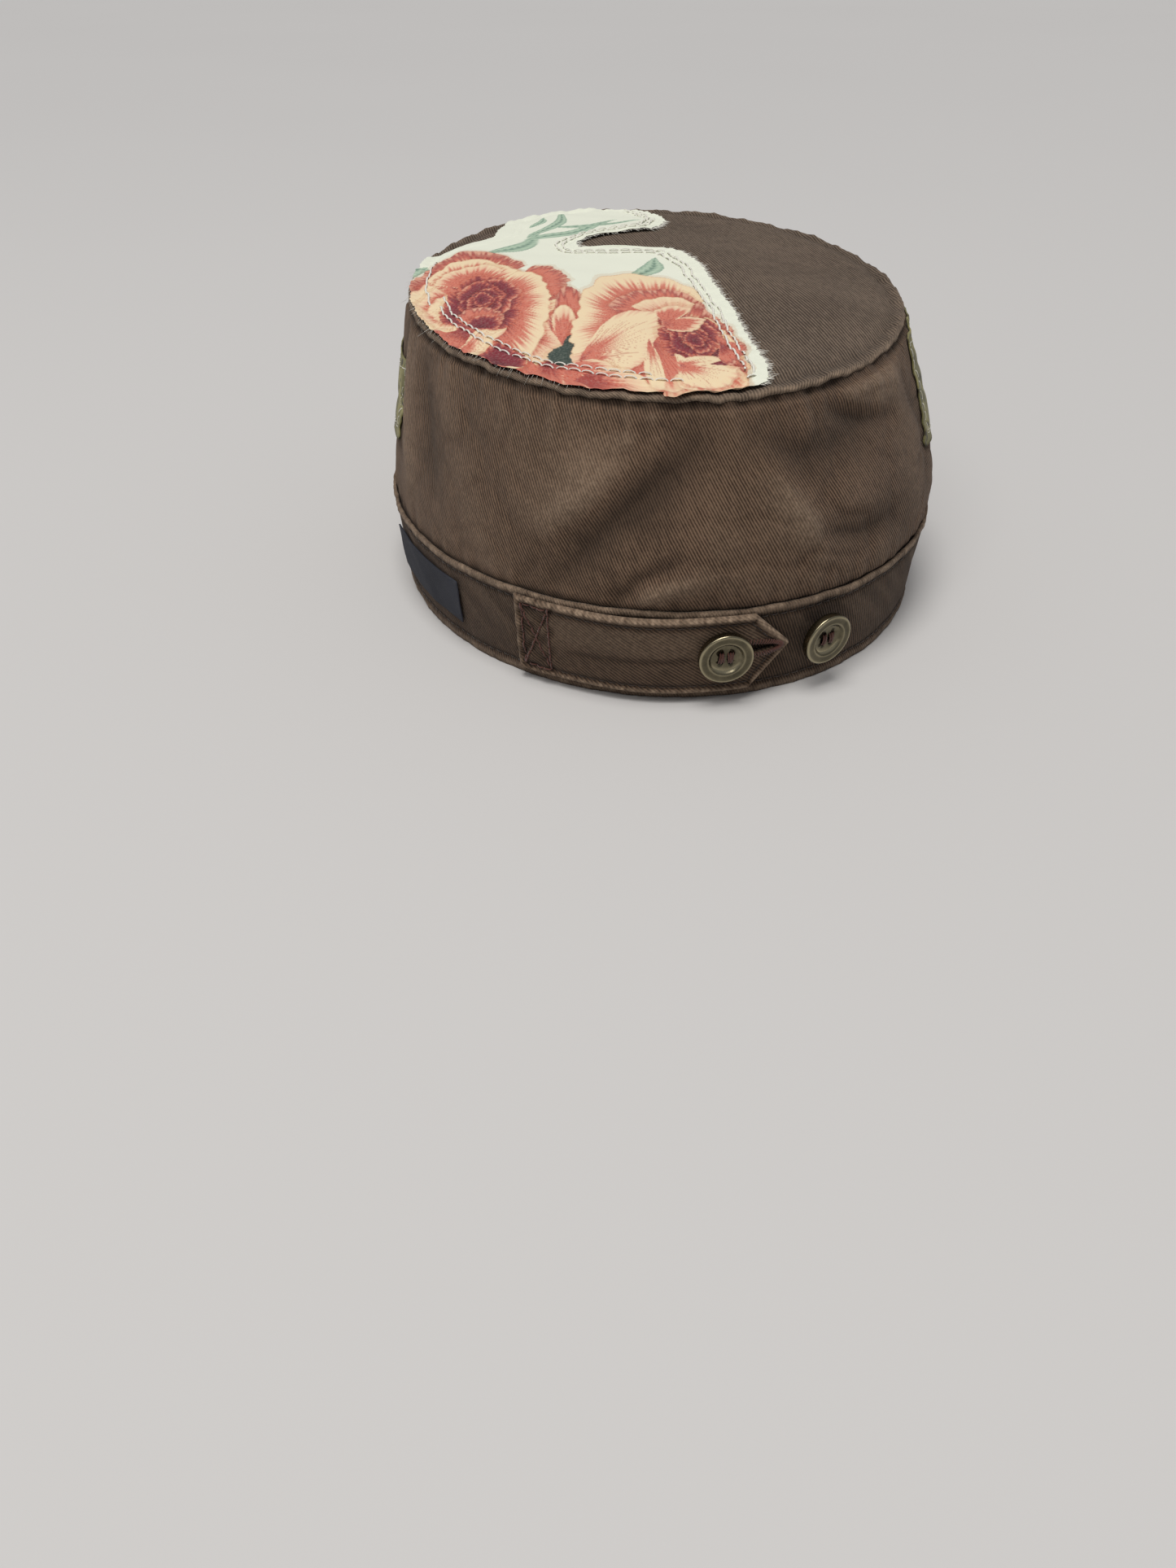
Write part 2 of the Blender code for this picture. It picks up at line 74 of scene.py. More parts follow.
BAND_FLARE = 3.0 * MM  # how far the band leans out from its low edge to its top
ARCH_RISE = 13.0 * MM  # the band's low edge over the visor
ARCH_HALF_ANGLE = 65.0
FRONT_BAND_LIFT = 0.45  # share of the arch that the band's top follows
CROWN_BULGE = 3.1 * MM  # fullness of the wall, highest below its middle
CROWN_BULGE_LOW = 0.6
CROWN_DRAW_IN = 1.35
CROWN_LEFT_FLATNESS = 0.9  # share of the fullness missing on the wearer's left
SEAM_RISE_FORWARD = 0.062  # slope of the top seam, up towards the visor
TOP_DOME = 4.0 * MM  # rise of the top panel's middle
GAP = 0.3 * MM  # left between two layers
BAND_CLOTH = 0.9 * MM
PANEL_CLOTH = 0.8 * MM
SWEATBAND_CLOTH = 0.8 * MM
VISOR_HALF_ANGLE = 62.0
VISOR_COVER = 0.7 * MM
VISOR_BOARD = 1.6 * MM
VISOR_EDGE_HEIGHT = 4.3 * MM
VISOR_EDGE_CAMBER = 4.0 * MM
VISOR_CORNER_Y = 50.4 * MM
VISOR_CROWNING = 1.6 * MM  # hump half way out
TAB_START, TAB_FOLD, TAB_SHOULDER, TAB_POINT = 53.5, 61.0, 97.3, 104.3
TAB_CLOTH = 0.8 * MM
TAB_STAND_OFF = 0.5 * MM
TAB_SLACK = 0.9 * MM  # more stand-off between the fold and the button
BUTTON_ANGLES = {"near": 91.9, "far": 111.1}
BUTTON_HEIGHT = 16.6 * MM

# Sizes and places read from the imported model.
TOP_LOW, TOP_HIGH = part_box("top_panel")
SEAM_HALF_X = 0.5 * (TOP_HIGH.x - TOP_LOW.x)
SEAM_HALF_Y = 0.5 * (TOP_HIGH.y - TOP_LOW.y)
CROWN_LEAN = 0.5 * (TOP_HIGH.x + TOP_LOW.x)
CROWN_Y = 0.5 * (TOP_HIGH.y + TOP_LOW.y)
BAND_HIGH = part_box("outer_band")[1]
BAND_HEIGHT = BAND_HIGH.z - FRONT_BAND_LIFT * ARCH_RISE
BAND_HALF_X = BAND_HIGH.x - BAND_FLARE
BAND_HALF_Y = BAND_HIGH.y - CROWN_Y - BAND_FLARE
SEAM_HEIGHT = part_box("back_panel")[1].z
SEAM_INSET = 0.9 * MM  # the top panel's seam line inside its box
VISOR_HALF_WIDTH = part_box("visor_top_cover")[1].x
VISOR_REACH = CROWN_Y - VISOR_CORNER_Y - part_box("visor_top_cover")[0].y
TAB_LOW, TAB_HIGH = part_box("tab_strap_face")[0].z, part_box("tab_strap_face")[1].z
TAB_POINT_HEIGHT = 16.4 * MM


def mix(start, end, share):
    return start + (end - start) * share


def ease(value, low, high):
    """0 before low and 1 after high, with a smooth turn between them."""
    share = np.clip((value - low) / (high - low), 0.0, 1.0)
    return share * share * (3.0 - 2.0 * share)


def ridge(value, centre, width):
    """A rounded ridge of height 1 at the centre."""
    return np.exp(-((value - centre) / width) ** 2)


def smoothed(line, width, mode):
    """A line averaged over width of its points, continued past its ends by the numpy mode."""
    soft = np.hanning(width)
    return np.convolve(np.pad(line, width // 2, mode=mode), soft / soft.sum(), mode="valid")


def ripple(value, seed, waves, amount=1.0):
    """A smooth irregular line made of a few sine waves; waves are cycles per unit of value."""
    pick = np.random.default_rng(seed)
    total = np.zeros_like(value, dtype=float)
    for cycles in waves:
        total += np.sin(2.0 * math.pi * cycles * value + pick.uniform(0.0, 2.0 * math.pi))
    return amount * total / len(waves)


# ---------------------------------------------------------------- surfaces of the cap


def arch(angle):
    """Height of the band's lower edge: flat at the sides and rear, arched over the visor."""
    from_front = np.abs((angle + 270.0) % 360.0 - 180.0)
    share = np.clip(from_front / ARCH_HALF_ANGLE, 0.0, 1.0)
    return ARCH_RISE * np.cos(0.5 * math.pi * share) ** 2


def band_top(angle):
    return BAND_HEIGHT + FRONT_BAND_LIFT * arch(angle)


def on_ellipse(angle, half_x, half_y, height, lean=0.0):
    turn = np.radians(angle)
    return np.stack(np.broadcast_arrays(
        lean + half_x * np.cos(turn), CROWN_Y + half_y * np.sin(turn), height), axis=-1)


def band_at_height(angle, height, depth):
    flare = BAND_FLARE * height / BAND_HEIGHT - depth
    return on_ellipse(angle, BAND_HALF_X + flare, BAND_HALF_Y + flare, height)


def seam_height(y):
    return SEAM_HEIGHT - SEAM_RISE_FORWARD * (y - CROWN_Y)


def crown_point(angle, rise, depth):
    """A point on the side wall: rise is 0 at the band's top and 1 at the top seam."""
    edge_y = CROWN_Y + SEAM_HALF_Y * np.sin(np.radians(angle))
    height = mix(band_top(angle), seam_height(edge_y), rise)
    tuck = BAND_CLOTH + GAP
    up = np.clip(rise, 0.0, None)
    foot = BAND_FLARE * np.minimum(height, band_top(angle)) / BAND_HEIGHT - tuck
    draw_in = up ** CROWN_DRAW_IN
    left = np.clip(np.cos(np.radians(angle)), 0.0, None)
    fullness = 1.0 - CROWN_LEFT_FLATNESS * left ** 2
    bulge = CROWN_BULGE * fullness * np.sin(math.pi * up ** CROWN_BULGE_LOW)
    half_x = mix(BAND_HALF_X + foot, SEAM_HALF_X, draw_in) + bulge - depth
    half_y = mix(BAND_HALF_Y + foot, SEAM_HALF_Y, draw_in) + bulge - depth
    return on_ellipse(angle, half_x, half_y, height, CROWN_LEAN * up)


def top_point(x, y, depth):
    """A point on the top panel at a plan position measured from the top seam's centre."""
    ring = (x / SEAM_HALF_X) ** 2 + (y / SEAM_HALF_Y) ** 2
    height = seam_height(y + CROWN_Y) + GAP + PANEL_CLOTH + TOP_DOME * (1.0 - ring)
    return np.stack(np.broadcast_arrays(x + CROWN_LEAN, y + CROWN_Y, height - depth), axis=-1)


def visor_point(across, out, depth):
    """A point on the visor: across is -1 to 1, out is 0 at the band and 1 at its edge."""
    angle = 270.0 + VISOR_HALF_ANGLE * across
    stack = 2.0 * VISOR_COVER + VISOR_BOARD + 3.0 * GAP
    root = band_at_height(angle, arch(angle) + stack + 2.0 * GAP, -GAP)
    swing = 0.5 * math.pi * across
    edge = np.stack((
        VISOR_HALF_WIDTH * np.sin(swing),
        CROWN_Y - VISOR_CORNER_Y - VISOR_REACH * np.cos(swing),
        VISOR_EDGE_HEIGHT + VISOR_EDGE_CAMBER * np.cos(swing) ** 2), axis=-1)
    point = mix(root, edge, np.asarray(out)[..., None])
    point[..., 2] += VISOR_CROWNING * np.sin(math.pi * out) * np.cos(swing) - depth
    return point


def tab_stand_off(angle):
    """How far the tab's back stands off the band: it is slack between its fold and button."""
    share = np.clip((angle - TAB_FOLD) / (BUTTON_ANGLES["near"] - TAB_FOLD), 0.0, 1.0)
    return TAB_STAND_OFF + TAB_SLACK * np.sin(math.pi * share) ** 2


def tab_edges(angle):
    """Heights of the tab's lower and upper edges, which meet in its point."""
    taper = np.clip((angle - TAB_SHOULDER) / (TAB_POINT - TAB_SHOULDER), 0.0, 1.0)
    return (mix(TAB_LOW, TAB_POINT_HEIGHT - 0.6 * MM, taper),
            mix(TAB_HIGH, TAB_POINT_HEIGHT + 0.6 * MM, taper))


def tab_face(angle, height, depth):
    outside = tab_stand_off(angle) + 2.0 * TAB_CLOTH + GAP
    return band_at_height(angle, height, depth - outside)


def band_matrix(angle, height):
    """Matrix at a point of the band's face: X along the band, Y up it, Z outwards."""
    here, beside, above = (Vector(band_at_height(a, h, 0.0)) for a, h in (
        (angle, height), (angle + 0.1, height), (angle, height + MM)))
    upward = (above - here).normalized()
    outward = upward.cross((beside - here).normalized()).normalized()
    if outward.dot(here - Vector((0.0, CROWN_Y, height))) < 0.0:
        outward.negate()
    turn = Matrix((upward.cross(outward), upward, outward)).transposed()
    return Matrix.Translation(here) @ turn.to_4x4()


# ---------------------------------------------------------------- making cloth


def flat_grid(columns, rows, thick, closing, trim):
    """A unit-square grid that remembers its place, welded into a ring or a disc if asked."""
    mesh = bmesh.new()
    mesh.loops.layers.uv.new("cloth")
    bmesh.ops.create_grid(
        mesh, x_segments=columns, y_segments=rows, size=0.5, calc_uvs=True)
    layers = [mesh.verts.layers.float.new(name) for name in ("across", "along", "inner")]
    for vert in mesh.verts:
        vert[layers[0]] = vert.co.x + 0.5
        vert[layers[1]] = vert.co.y + 0.5
    if trim is not None:
        cut = [face for face in mesh.faces
               if trim(face.calc_center_median().x + 0.5, face.calc_center_median().y + 0.5)]
        bmesh.ops.delete(mesh, geom=cut, context="FACES")
    if closing:
        for vert in mesh.verts:
            turn = 2.0 * math.pi * vert[layers[0]]
            radius = vert[layers[1]] if closing == "disc" else 1.0
            vert.co = (radius * math.cos(turn), radius * math.sin(turn),
                       0.0 if closing == "disc" else vert[layers[1]])
        bmesh.ops.remove_doubles(mesh, verts=mesh.verts, dist=1e-6)
    if thick:
        back = bmesh.ops.extrude_face_region(
            mesh, geom=list(mesh.faces), use_keep_orig=True)
        for part in back["geom"]:
            if isinstance(part, bmesh.types.BMVert):
                part[layers[2]] = 1.0
    return mesh


def as_mesh(name, mesh):
    data = bpy.data.meshes.new(name)
    mesh.to_mesh(data)
    mesh.free()
    return data


def read_layer(data, name):
    values = np.zeros(len(data.vertices), np.float32)
    data.attributes[name].data.foreach_get("value", values)
    return values.astype(float)


def square_up(data, facing=None):
    """Turn every face outwards; an open sheet is turned to face along the given direction."""
    mesh = bmesh.new()
    mesh.from_mesh(data)
    bmesh.ops.remove_doubles(mesh, verts=mesh.verts, dist=1e-6)
    bmesh.ops.recalc_face_normals(mesh, faces=mesh.faces)
    if facing is None:
        inside_out = mesh.calc_volume(signed=True) < 0.0
    else:
        inside_out = sum(face.normal.dot(facing) * face.calc_area() for face in mesh.faces) < 0.0
    if inside_out:
        bmesh.ops.reverse_faces(mesh, faces=mesh.faces)
    for face in mesh.faces:
        face.smooth = True
    mesh.to_mesh(data)
    mesh.free()


def places_of(data):
    """x, y and z of a mesh's points, in metres."""
    places = np.zeros(3 * len(data.vertices), np.float32)
    data.vertices.foreach_get("co", places)
    return places.reshape(-1, 3).astype(float).T


def to_piece(name, data, finish, body):
    piece = bpy.data.objects.new(name, data)
    data.materials.append(finish)
    bpy.context.scene.collection.objects.link(piece)
    if body is not None:
        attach(piece, body)
    return piece


def cloth(name, finish, columns, rows, place, depths, uv, body="cap", closing=None, tone=None,
          trim=None, facing=None):
    """Lay a grid of cloth on its surface and give it thickness.

    place(across, along, depth) and uv(across, along) take whole arrays, with across and along
    in 0 to 1; tone lightens the cloth up to 1, for wear and painted highlight, and darkens it
    down to -1, mostly as painted shade. depths holds the outer and inner depth, or only one
    for a single layer.
    """
    data = as_mesh(name, flat_grid(columns, rows, len(depths) == 2, closing, trim))
    across, along, inner = (read_layer(data, layer) for layer in ("across", "along", "inner"))
    depth = mix(depths[0], depths[-1], inner)
    data.vertices.foreach_set("co", place(across, along, depth).astype(np.float32).ravel())
    flat = np.zeros(2 * len(data.loops), np.float32)
    data.uv_layers["cloth"].data.foreach_get("uv", flat)
    placed = np.stack(uv(flat[0::2].astype(float), flat[1::2].astype(float)), axis=-1)
    data.uv_layers["cloth"].data.foreach_set("uv", placed.astype(np.float32).ravel())
    shade = data.attributes.new("tone", "FLOAT", "POINT")
    if tone is not None:
        shade.data.foreach_set("value", tone(across, along).astype(np.float32))
    for layer in ("across", "along", "inner"):
        data.attributes.remove(data.attributes[layer])
    square_up(data, facing)
    return to_piece(name, data, finish, body)


def stitch_template(length, thread):
    """One stitch lying along X: a thread arch whose ends go down into the cloth."""
    mesh = bmesh.new()
    ring = bmesh.ops.create_circle(mesh, segments=6, radius=thread, matrix=(
        Matrix.Translation((-0.5 * length, 0.0, 0.0))))
    bmesh.ops.spin(
        mesh, geom=ring["verts"] + mesh.edges[:], cent=(0.0, 0.0, 0.0), axis=(0.0, 1.0, 0.0),
        angle=math.pi, steps=5, use_merge=False, use_duplicate=False)
    bmesh.ops.scale(mesh, verts=mesh.verts, vec=(1.0, 1.0, 1.9 * thread / (0.5 * length)))
    bmesh.ops.recalc_face_normals(mesh, faces=mesh.faces)
    return as_mesh("stitch", mesh)


def copies(name, template, places, finish, body):
    """Copy a small template mesh to many places, as one piece."""
    mesh = bmesh.new()
    for place in places:
        start = len(mesh.verts)
        mesh.from_mesh(template)
        mesh.verts.ensure_lookup_table()
        bmesh.ops.transform(mesh, matrix=place, verts=mesh.verts[start:])
    for face in mesh.faces:
        face.smooth = True
    bpy.data.meshes.remove(template)
    return to_piece(name, as_mesh(name, mesh), finish, body)


def along_path(points, outside, pitch, wander=0.0, seed=0):
    """Matrices at even steps along a path: X along it, Z from the path towards outside."""
    pick = np.random.default_rng(seed)
    steps = np.linalg.norm(np.diff(points, axis=0), axis=1)
    run = np.concatenate(([0.0], np.cumsum(steps)))
    places = []
    for stop in np.arange(0.5 * pitch, run[-1], pitch):
        stop += pick.uniform(-wander, wander)
        here, ahead, proud = (
            Vector([np.interp(value, run, line[:, axis]) for axis in range(3)])
            for value, line in ((stop, points), (stop + 0.2 * pitch, points), (stop, outside)))
        heading = (ahead - here).normalized()
        up = (proud - here).normalized()
        side = up.cross(heading).normalized()
        turn = Matrix((heading, side, heading.cross(side))).transposed()
        places.append(Matrix.Translation(here) @ turn.to_4x4())
    return places


def stitching(name, finish, traces, pitch, thread, body="cap", fill=0.72, wander=0.0):
    """Rows of stitches; a trace gives the points of a row at a depth."""
    places = []
    for number, trace in enumerate(traces):
        places += along_path(trace(0.0), trace(-MM), pitch, wander, number)
    return copies(name, stitch_template(fill * pitch, thread), places, finish, body)


# ---------------------------------------------------------------- finishes


def node(tree, kind, **settings):
    made = tree.nodes.new(kind)
    for name, value in settings.items():
        setattr(made, name, value)
    return made


def maths(tree, operation, first, second=None, third=None):
    made = node(tree, "ShaderNodeMath", operation=operation)
    for socket, value in zip(made.inputs, (first, second, third)):
        if value is None:
            continue
        if isinstance(value, (int, float)):
            socket.default_value = value
        else:
            tree.links.new(value, socket)
    return made.outputs[0]


def wave(tree, value):
    """A sine of whole turns brought between 0 and 1."""
    turns = maths(tree, "SINE", maths(tree, "MULTIPLY", value, 2.0 * math.pi))
    return maths(tree, "MULTIPLY_ADD", turns, 0.5, 0.5)


def between(tree, value, high=1.0):
    """A value held between 0 and high."""
    return maths(tree, "MINIMUM", maths(tree, "MAXIMUM", value, 0.0), high)


def blend_colour(tree, factor, first, second):
    made = node(tree, "ShaderNodeMix", data_type="RGBA")
    for socket, value in ((made.inputs[0], factor), (made.inputs[6], first),
                          (made.inputs[7], second)):
        if isinstance(value, (int, float)):
            socket.default_value = value
        elif hasattr(value, "__len__"):
            socket.default_value = (*tuple(value)[:3], 1.0)
        else:
            tree.links.new(value, socket)
    return made.outputs[2]


def group_tree(name, inputs, outputs):
    """A new node group with its sockets; inputs are (name, type, default)."""
    tree = bpy.data.node_groups.new(name, "ShaderNodeTree")
    for label, kind, value in inputs:
        socket = tree.interface.new_socket(label, in_out="INPUT", socket_type=kind)
        if value is not None:
            socket.default_value = value
    for label in outputs:
        tree.interface.new_socket(label, in_out="OUTPUT", socket_type="NodeSocketFloat")
    return tree, node(tree, "NodeGroupInput"), node(tree, "NodeGroupOutput")


def noise(tree, vector, scale, detail=2.0, roughness=0.55):
    made = node(tree, "ShaderNodeTexNoise", noise_dimensions="3D")
    made.inputs["Detail"].default_value = detail
    made.inputs["Roughness"].default_value = roughness
    if isinstance(scale, (int, float)):
        made.inputs["Scale"].default_value = scale
    else:
        tree.links.new(scale, made.inputs["Scale"])
    tree.links.new(vector, made.inputs["Vector"])
    return made.outputs["Fac"]


def twill_weave():
    """Diagonal ribs of a twill with the single yarn floats along each rib."""
    if "TwillWeave" in bpy.data.node_groups:
        return bpy.data.node_groups["TwillWeave"]
    tree, given, out = group_tree("TwillWeave", (
        ("Cloth", "NodeSocketVector", None),
        ("Rib Spacing", "NodeSocketFloat", 0.85 * MM),
        ("Rib Lean", "NodeSocketFloat", 1.08),
        ("Unevenness", "NodeSocketFloat", 0.2)), ("Rib", "Float", "Streak", "Height"))
    split = node(tree, "ShaderNodeSeparateXYZ")
    tree.links.new(given.outputs["Cloth"], split.inputs[0])
    sine = maths(tree, "SINE", given.outputs["Rib Lean"])
    cosine = maths(tree, "COSINE", given.outputs["Rib Lean"])
    over = maths(tree, "ADD", maths(tree, "MULTIPLY", split.outputs[0], sine),
                 maths(tree, "MULTIPLY", split.outputs[1], cosine))
    down = maths(tree, "SUBTRACT", maths(tree, "MULTIPLY", split.outputs[0], cosine),
                 maths(tree, "MULTIPLY", split.outputs[1], sine))
    drift = maths(tree, "SUBTRACT", noise(tree, given.outputs["Cloth"], 420.0), 0.5)
    count = maths(tree, "ADD", maths(tree, "DIVIDE", over, given.outputs["Rib Spacing"]),
                  maths(tree, "MULTIPLY", drift, given.outputs["Unevenness"]))
    rib = wave(tree, count)
    step = maths(tree, "MULTIPLY", maths(tree, "FLOOR", count), 0.37)
    place = maths(tree, "ADD", maths(
        tree, "DIVIDE", down, maths(tree, "MULTIPLY", given.outputs["Rib Spacing"], 1.3)), step)
    beads = wave(tree, place)
    fibre = noise(tree, given.outputs["Cloth"], 2600.0, 3.0)
    along = node(tree, "ShaderNodeCombineXYZ")
    tree.links.new(over, along.inputs[0])
    tree.links.new(maths(tree, "MULTIPLY", down, 0.2), along.inputs[1])
    streak = maths(tree, "MULTIPLY_ADD", noise(tree, along.outputs[0], 1000.0, 3.0), 2.8, -0.9)
    height = maths(tree, "MULTIPLY_ADD", rib, 0.7, maths(
        tree, "MULTIPLY_ADD", beads, 0.09, maths(tree, "MULTIPLY", fibre, 0.25)))
    for name, value in (("Rib", rib), ("Float", beads), ("Streak", streak), ("Height", height)):
        tree.links.new(value, out.inputs[name])
    return tree


def plain_weave():
    """Over-and-under weave of a plain cotton."""
    if "PlainWeave" in bpy.data.node_groups:
        return bpy.data.node_groups["PlainWeave"]
    tree, given, out = group_tree("PlainWeave", (
        ("Cloth", "NodeSocketVector", None),
        ("Yarn Spacing", "NodeSocketFloat", 0.5 * MM)), ("Thread", "Height"))
    split = node(tree, "ShaderNodeSeparateXYZ")
    tree.links.new(given.outputs["Cloth"], split.inputs[0])
    waves = []
    for axis in (0, 1):
        count = maths(tree, "DIVIDE", split.outputs[axis], given.outputs["Yarn Spacing"])
        waves.append(maths(tree, "SINE", maths(tree, "MULTIPLY", count, 2.0 * math.pi)))
    thread = maths(tree, "MULTIPLY_ADD", maths(tree, "MULTIPLY", *waves), 0.5, 0.5)
    fuzz = noise(tree, given.outputs["Cloth"], 1800.0, 3.0)
    height = maths(tree, "MULTIPLY_ADD", thread, 0.6, maths(tree, "MULTIPLY", fuzz, 0.5))
    for name, value in (("Thread", thread), ("Height", height)):
        tree.links.new(value, out.inputs[name])
    return tree


def wash_wear():
    """Uneven fading: broad clouds and small pale flecks of a washed, worn cloth."""
    if "WashWear" in bpy.data.node_groups:
        return bpy.data.node_groups["WashWear"]
    tree, given, out = group_tree("WashWear", (
        ("Place", "NodeSocketVector", None), ("Cloud Scale", "NodeSocketFloat", 38.0),
        ("Fleck Scale", "NodeSocketFloat", 900.0)), ("Cloud", "Fleck"))
    cloud = noise(tree, given.outputs["Place"], given.outputs["Cloud Scale"], 4.0, 0.6)
    fleck = noise(tree, given.outputs["Place"], given.outputs["Fleck Scale"], 2.0)
    cloud = maths(tree, "MULTIPLY_ADD", cloud, 2.0, -0.5)
    fleck = maths(tree, "MULTIPLY_ADD", fleck, 3.0, -1.3)
    for name, value in (("Cloud", cloud), ("Fleck", fleck)):
        tree.links.new(between(tree, value), out.inputs[name])
    return tree


def placed_group(tree, group, **values):
    made = node(tree, "ShaderNodeGroup", node_tree=group)
    for label, value in values.items():
        socket = made.inputs[label.replace("_", " ")]
        if isinstance(value, (int, float)):
            socket.default_value = value
        else:
            tree.links.new(value, socket)
    return made.outputs


def new_finish(name, roughness, metallic=0.0, sheen=0.0, sheen_tint=(1.0, 1.0, 1.0)):
    """A material with its Principled shader, the cloth coordinates and the object's own."""
    material = bpy.data.materials.new(name)
    material.use_nodes = True
    tree = material.node_tree
    shader = tree.nodes["Principled BSDF"]
    shader.inputs["Roughness"].default_value = roughness
    shader.inputs["Metallic"].default_value = metallic
    shader.inputs["Specular IOR Level"].default_value = 0.25 if metallic == 0.0 else 0.5
    if sheen:
        shader.inputs["Sheen Weight"].default_value = sheen
        shader.inputs["Sheen Roughness"].default_value = 0.5
        shader.inputs["Sheen Tint"].default_value = (*sheen_tint, 1.0)
    cloth_map = node(tree, "ShaderNodeUVMap", uv_map="cloth").outputs[0]
    own_place = node(tree, "ShaderNodeTexCoord").outputs["Object"]
    return material, tree, shader, cloth_map, own_place


def connect_bump(tree, shader, height, distance):
    bump = node(tree, "ShaderNodeBump")
    bump.inputs["Strength"].default_value = 1.0
    bump.inputs["Distance"].default_value = distance
    tree.links.new(height, bump.inputs["Height"])
    tree.links.new(bump.outputs[0], shader.inputs["Normal"])


def tone_value(tree):
    return node(tree, "ShaderNodeAttribute", attribute_name="tone").outputs["Fac"]


def twill_finish(name, spacing, lean, deep, pale, wear_and_highlight):
    """Washed twill: deep valleys, paler ribs, clouds of fading, worn edges and a painted highlight
    on raised folds, and painted shade where the tone is below 0.
    """
    if name in bpy.data.materials:
        return bpy.data.materials[name]
    looks = bpy.context.scene.cap_cloth
    material, tree, shader, cloth_map, own_place = new_finish(
        name, 0.95, sheen=looks.sheen, sheen_tint=(1.0, 0.92, 0.84))
    weave = placed_group(tree, twill_weave(), Cloth=cloth_map, Rib_Spacing=spacing,
                         Rib_Lean=lean, Unevenness=0.35)
    wear = placed_group(tree, wash_wear(), Place=own_place)
    lit = maths(tree, "MULTIPLY_ADD", weave["Rib"], 0.95,
                maths(tree, "MULTIPLY_ADD", weave["Float"], 0.08, -0.30))
    lit = maths(tree, "MULTIPLY_ADD", weave["Streak"], 0.38, lit)
    lit = maths(tree, "ADD", lit, maths(tree, "MULTIPLY_ADD", wear["Cloud"], 0.40, -0.18))
    lit = maths(tree, "ADD", lit, maths(tree, "MULTIPLY", wear["Fleck"], 0.30))
    colour = blend_colour(tree, between(tree, lit, 1.2), deep, pale)
    tone = tone_value(tree)
    # Tone above 0: wear on lips, rolls and edges, and a painted highlight on raised folds.
    rubbing_and_painted_light = maths(tree, "MULTIPLY", maths(tree, "MAXIMUM", tone, 0.0),
                   maths(tree, "MULTIPLY_ADD", wear["Fleck"], 0.7, 0.6))
    colour = blend_colour(tree, maths(tree, "MINIMUM", rubbing_and_painted_light, 1.0), colour, wear_and_highlight)
    # Tone below 0: painted shade in folds, stitch grooves, hollows and along the band.
    painted_shade = maths(tree, "MAXIMUM", maths(tree, "MULTIPLY", tone, -1.0), 0.0)
    colour = blend_colour(tree, maths(tree, "MULTIPLY", painted_shade, 0.85), colour,
                          tuple(0.3 * part for part in deep))
    tree.links.new(colour, shader.inputs["Base Color"])
    connect_bump(tree, shader, weave["Height"], 0.30 * MM)
    return material


def plain_finish(name, spacing, colour, shadow, roughness=0.9, bump=0.12 * MM):
    """Plain-woven cotton in one dye, uneven at its threads."""
    if name in bpy.data.materials:
        return bpy.data.materials[name]
    material, tree, shader, cloth_map, own_place = new_finish(name, roughness)
    weave = placed_group(tree, plain_weave(), Cloth=cloth_map, Yarn_Spacing=spacing)
    wear = placed_group(tree, wash_wear(), Place=own_place)
    share = maths(tree, "MULTIPLY_ADD", weave["Thread"], 0.5,
                  maths(tree, "MULTIPLY", wear["Cloud"], 0.5))
    tree.links.new(blend_colour(tree, share, shadow, colour), shader.inputs["Base Color"])
    connect_bump(tree, shader, weave["Height"], bump)
    return material


def printed_finish():
    """White cotton with its print held in the mesh's colours, slightly worn off the threads."""
    if "printed_cotton" in bpy.data.materials:
        return bpy.data.materials["printed_cotton"]
    material, tree, shader, cloth_map, own_place = new_finish("printed_cotton", 0.85, sheen=0.05)
    weave = placed_group(tree, plain_weave(), Cloth=cloth_map, Yarn_Spacing=0.42 * MM)
    wear = placed_group(tree, wash_wear(), Place=own_place, Fleck_Scale=1500.0)
    ink = node(tree, "ShaderNodeAttribute", attribute_name="ink").outputs["Color"]
    bare = maths(tree, "MULTIPLY", wear["Fleck"], 0.12)
    colour = blend_colour(tree, bare, ink, bpy.context.scene.cap_print.ground)
    # Painted shade between the yarns.
    recess_shade = maths(tree, "MULTIPLY_ADD", weave["Thread"], -0.10, 0.10)
    colour = blend_colour(tree, recess_shade, colour, (0.25, 0.18, 0.14))
    tree.links.new(colour, shader.inputs["Base Color"])
    connect_bump(tree, shader, weave["Height"], 0.10 * MM)
    return material


def thread_finish(name, colour, glow=0.3):
    """Spun sewing thread, with a fine twist in its bump and colour."""
    if name in bpy.data.materials:
        return bpy.data.materials[name]
    material, tree, shader, _, own_place = new_finish(name, 0.7, sheen=glow)
    twist = noise(tree, own_place, 4200.0, 2.0)
    shadow = tuple(0.6 * part for part in colour)
    share = maths(tree, "MULTIPLY_ADD", twist, 1.8, -0.3)
    tree.links.new(blend_colour(tree, share, shadow, colour), shader.inputs["Base Color"])
    connect_bump(tree, shader, twist, 0.1 * MM)
    return material


